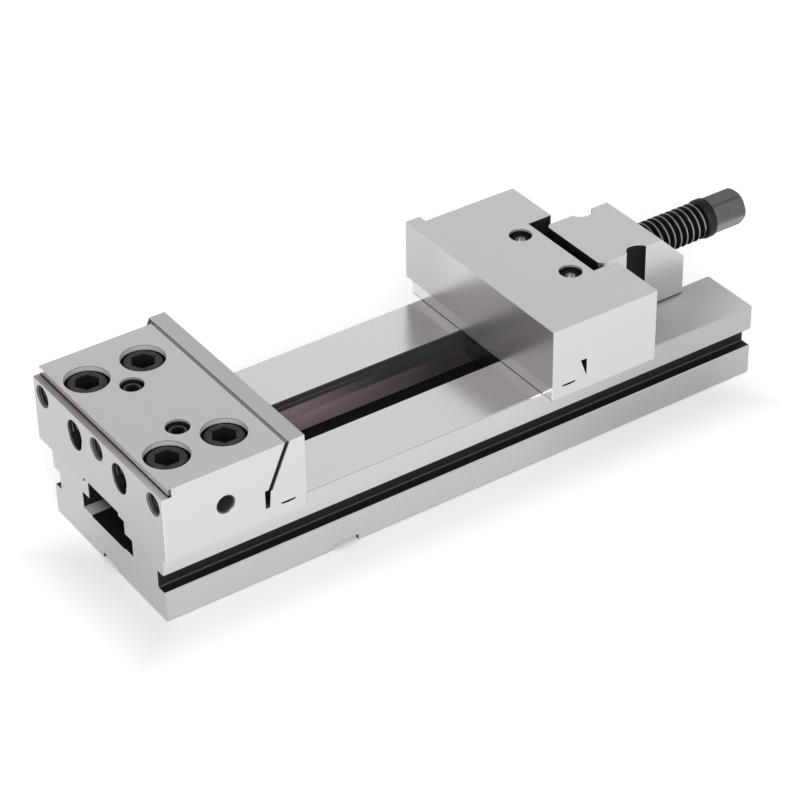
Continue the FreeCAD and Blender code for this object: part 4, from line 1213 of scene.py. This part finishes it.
class MovingJaw:
    """The jaw that slides on the rails, with its plate, guide and thrust parts."""

    front = (-JAW_PAST_Y, LEDGE_Z - SKIN), (PLATE_PAST_Y, JAW_TOP_Z)
    zones = (
        # The sides and front painted darker as painted shade, the front fading into more painted shade towards its
        # far side.
        on_face(JAW_SIDE_SHADE, Axis.ACROSS, JAW_SIDE_Y, (145.0, 50.0), (226.0, JAW_TOP_Z), both_sides=True),
        on_face(PLATE_FRONT_SHADE, Axis.ALONG, MOVING_FACE_X, *front),
        on_face(PLATE_FRONT_FAR_SHADE, Axis.ALONG, MOVING_FACE_X, *front, fade=(60.0, 10.0), fade_along=Axis.ACROSS),
        on_face(JAW_SIDE_SHADE, Axis.ACROSS, PLATE_SIDE_Y, (145.0, 59.0), (172.0, JAW_TOP_Z)),
        # Painted shade on the walls of the notch.
        Hollow(SHADED_WALL, (207.3, -34.2, 50.0), (225.3, 34.2, JAW_TOP_Z - SKIN)),
        Hollow(DEEP_SHADE, (207.3, -34.2, 50.0), (224.9, 34.2, 100.3)),
        # The lock screws' recesses: painted shade below a painted lit band under the rim.
        *recess(LIT_SCREW_WALL, MOVING_LOCKS, 7.7, 99.5, 100.7),
        # Painted shade in the pocket and grooves at the plate's foot, and a painted shade line along the jaw's foot
        # on the rails.
        Hollow(DEEP_SHADE, (163.0, -JAW_INNER_Y, LEDGE_Z + SKIN), (171.6, JAW_INNER_Y, 72.65)),
        Hollow(DEEP_SHADE, (151.5, -JAW_INNER_Y, 58.0), (164.5, JAW_INNER_Y, 59.95)),
        Hollow(DEEP_SHADE, (153.4, -JAW_OUTER_Y, 58.7), (162.6, JAW_OUTER_Y, 59.98)),
        Hollow(BLACK_SHADE, (140.0, -80.0, BED_TOP_Z), (146.2, 80.0, 51.5)),
    )
    lock_sockets = (
        # Painted shade on the lock screws' heads, with a painted glint in their sockets.
        Bore(DEEP_SHADE, Axis.UP, MOVING_LOCKS, 8.0, 80.0, 98.5),
        Bore(SOCKET_GLINT, Axis.UP, MOVING_LOCKS, 3.7, 80.0, 97.7),
    )

    def build(self) -> None:
        """Dress the jaw and its small parts."""
        steel = GroundSteel("moving_jaw_ground_steel", lines=Axis.ACROSS)
        material = steel.material(self.zones)
        Workshop.dress("moving_jaw_body", material)
        Workshop.dress("moving_jaw_plate", material)
        oxide = BlackSteel("moving_screw_black_oxide")
        Workshop.dress("moving_jaw_lock_screws", oxide.material(self.lock_sockets))
        hidden = BlackSteel("hidden_screw_black_oxide").material()
        for node in ("jaw_guide_screws", "nose_retainer_screws"):
            Workshop.dress(node, hidden)
        # The thrust parts, seen only through gaps, are painted dark as painted shade.
        dark = TurnedSteel("thrust_steel_painted_shade", (0.05, 0.048, 0.05), 0.4).material()
        for node in ("moving_jaw_draw_rods", "nose_retainer_lower", "nose_retainer_upper"):
            Workshop.dress(node, dark)
        hard = TurnedSteel("guide_hardened_steel", (0.42, 0.42, 0.43), 0.3).material()
        for node in ("jaw_guide", "thrust_pad", "thrust_ball"):
            Workshop.dress(node, hard)


FINGER_POCKETS = Places((246.0, 0.0), (0.0, 30.1))
NUT_BORE = Places((0.0, SPINDLE_Z))


class NutCarriage:
    """The nut block with its foot, index pin and lead nut."""

    zones = (
        # The sides are painted darker as painted shade, and the front face is black for its oxide and for painted
        # shade. Painted shade also fills the gap under the block, the finger pockets and the bore.
        on_face(NUT_SIDE_SHADE, Axis.ACROSS, NUT_SIDE_Y, (216.0, 52.0), (286.0, 100.95), both_sides=True),
        Hollow(DEEP_SHADE, (NUT_FRONT_X - 0.2, -28.1, BED_TOP_Z), (NUT_FRONT_X + 0.2, 28.1, 100.5)),
        Hollow(DEEP_SHADE, (216.0, -29.0, BED_TOP_Z), (286.0, 29.0, 52.8)),
        Bore(DEEP_SHADE, Axis.UP, FINGER_POCKETS, 8.0, 50.0, 98.6),
        Bore(DEEP_SHADE, Axis.ALONG, NUT_BORE, 15.2, 217.8, 284.4),
    )

    def build(self) -> None:
        """Dress the carriage and its small parts."""
        steel = GroundSteel("nut_block_ground_steel", lines=Axis.ALONG)
        Workshop.dress("nut_block", steel.material(self.zones))
        Workshop.dress("lead_nut", TurnedSteel("lead_nut_bronze", (0.62, 0.42, 0.20), 0.32).material())
        hard = TurnedSteel("foot_hardened_steel", (0.42, 0.42, 0.43), 0.3).material()
        for node in ("carriage_foot", "carriage_foot_plate", "index_pin"):
            Workshop.dress(node, hard)
        oxide = BlackSteel("carriage_black_oxide").material()
        for node in ("carriage_foot_screws", "lead_nut_screw", "index_plunger", "index_grip_pin"):
            Workshop.dress(node, oxide)


def main() -> None:
    """Build the studio and the vise."""
    logging.basicConfig(level=logging.INFO, format="%(name)s: %(message)s")
    Camera().build()
    Studio().build()
    for part in (Bed(), FixedJaw(), MovingJaw(), NutCarriage(),
                 Spindle(SpindleSizes(), TurnedSteel("spindle_dark_steel", (0.16, 0.152, 0.155), 0.3))):
        part.build()
        log.info("built %s", type(part).__name__)


if __name__ == "__main__":
    main()
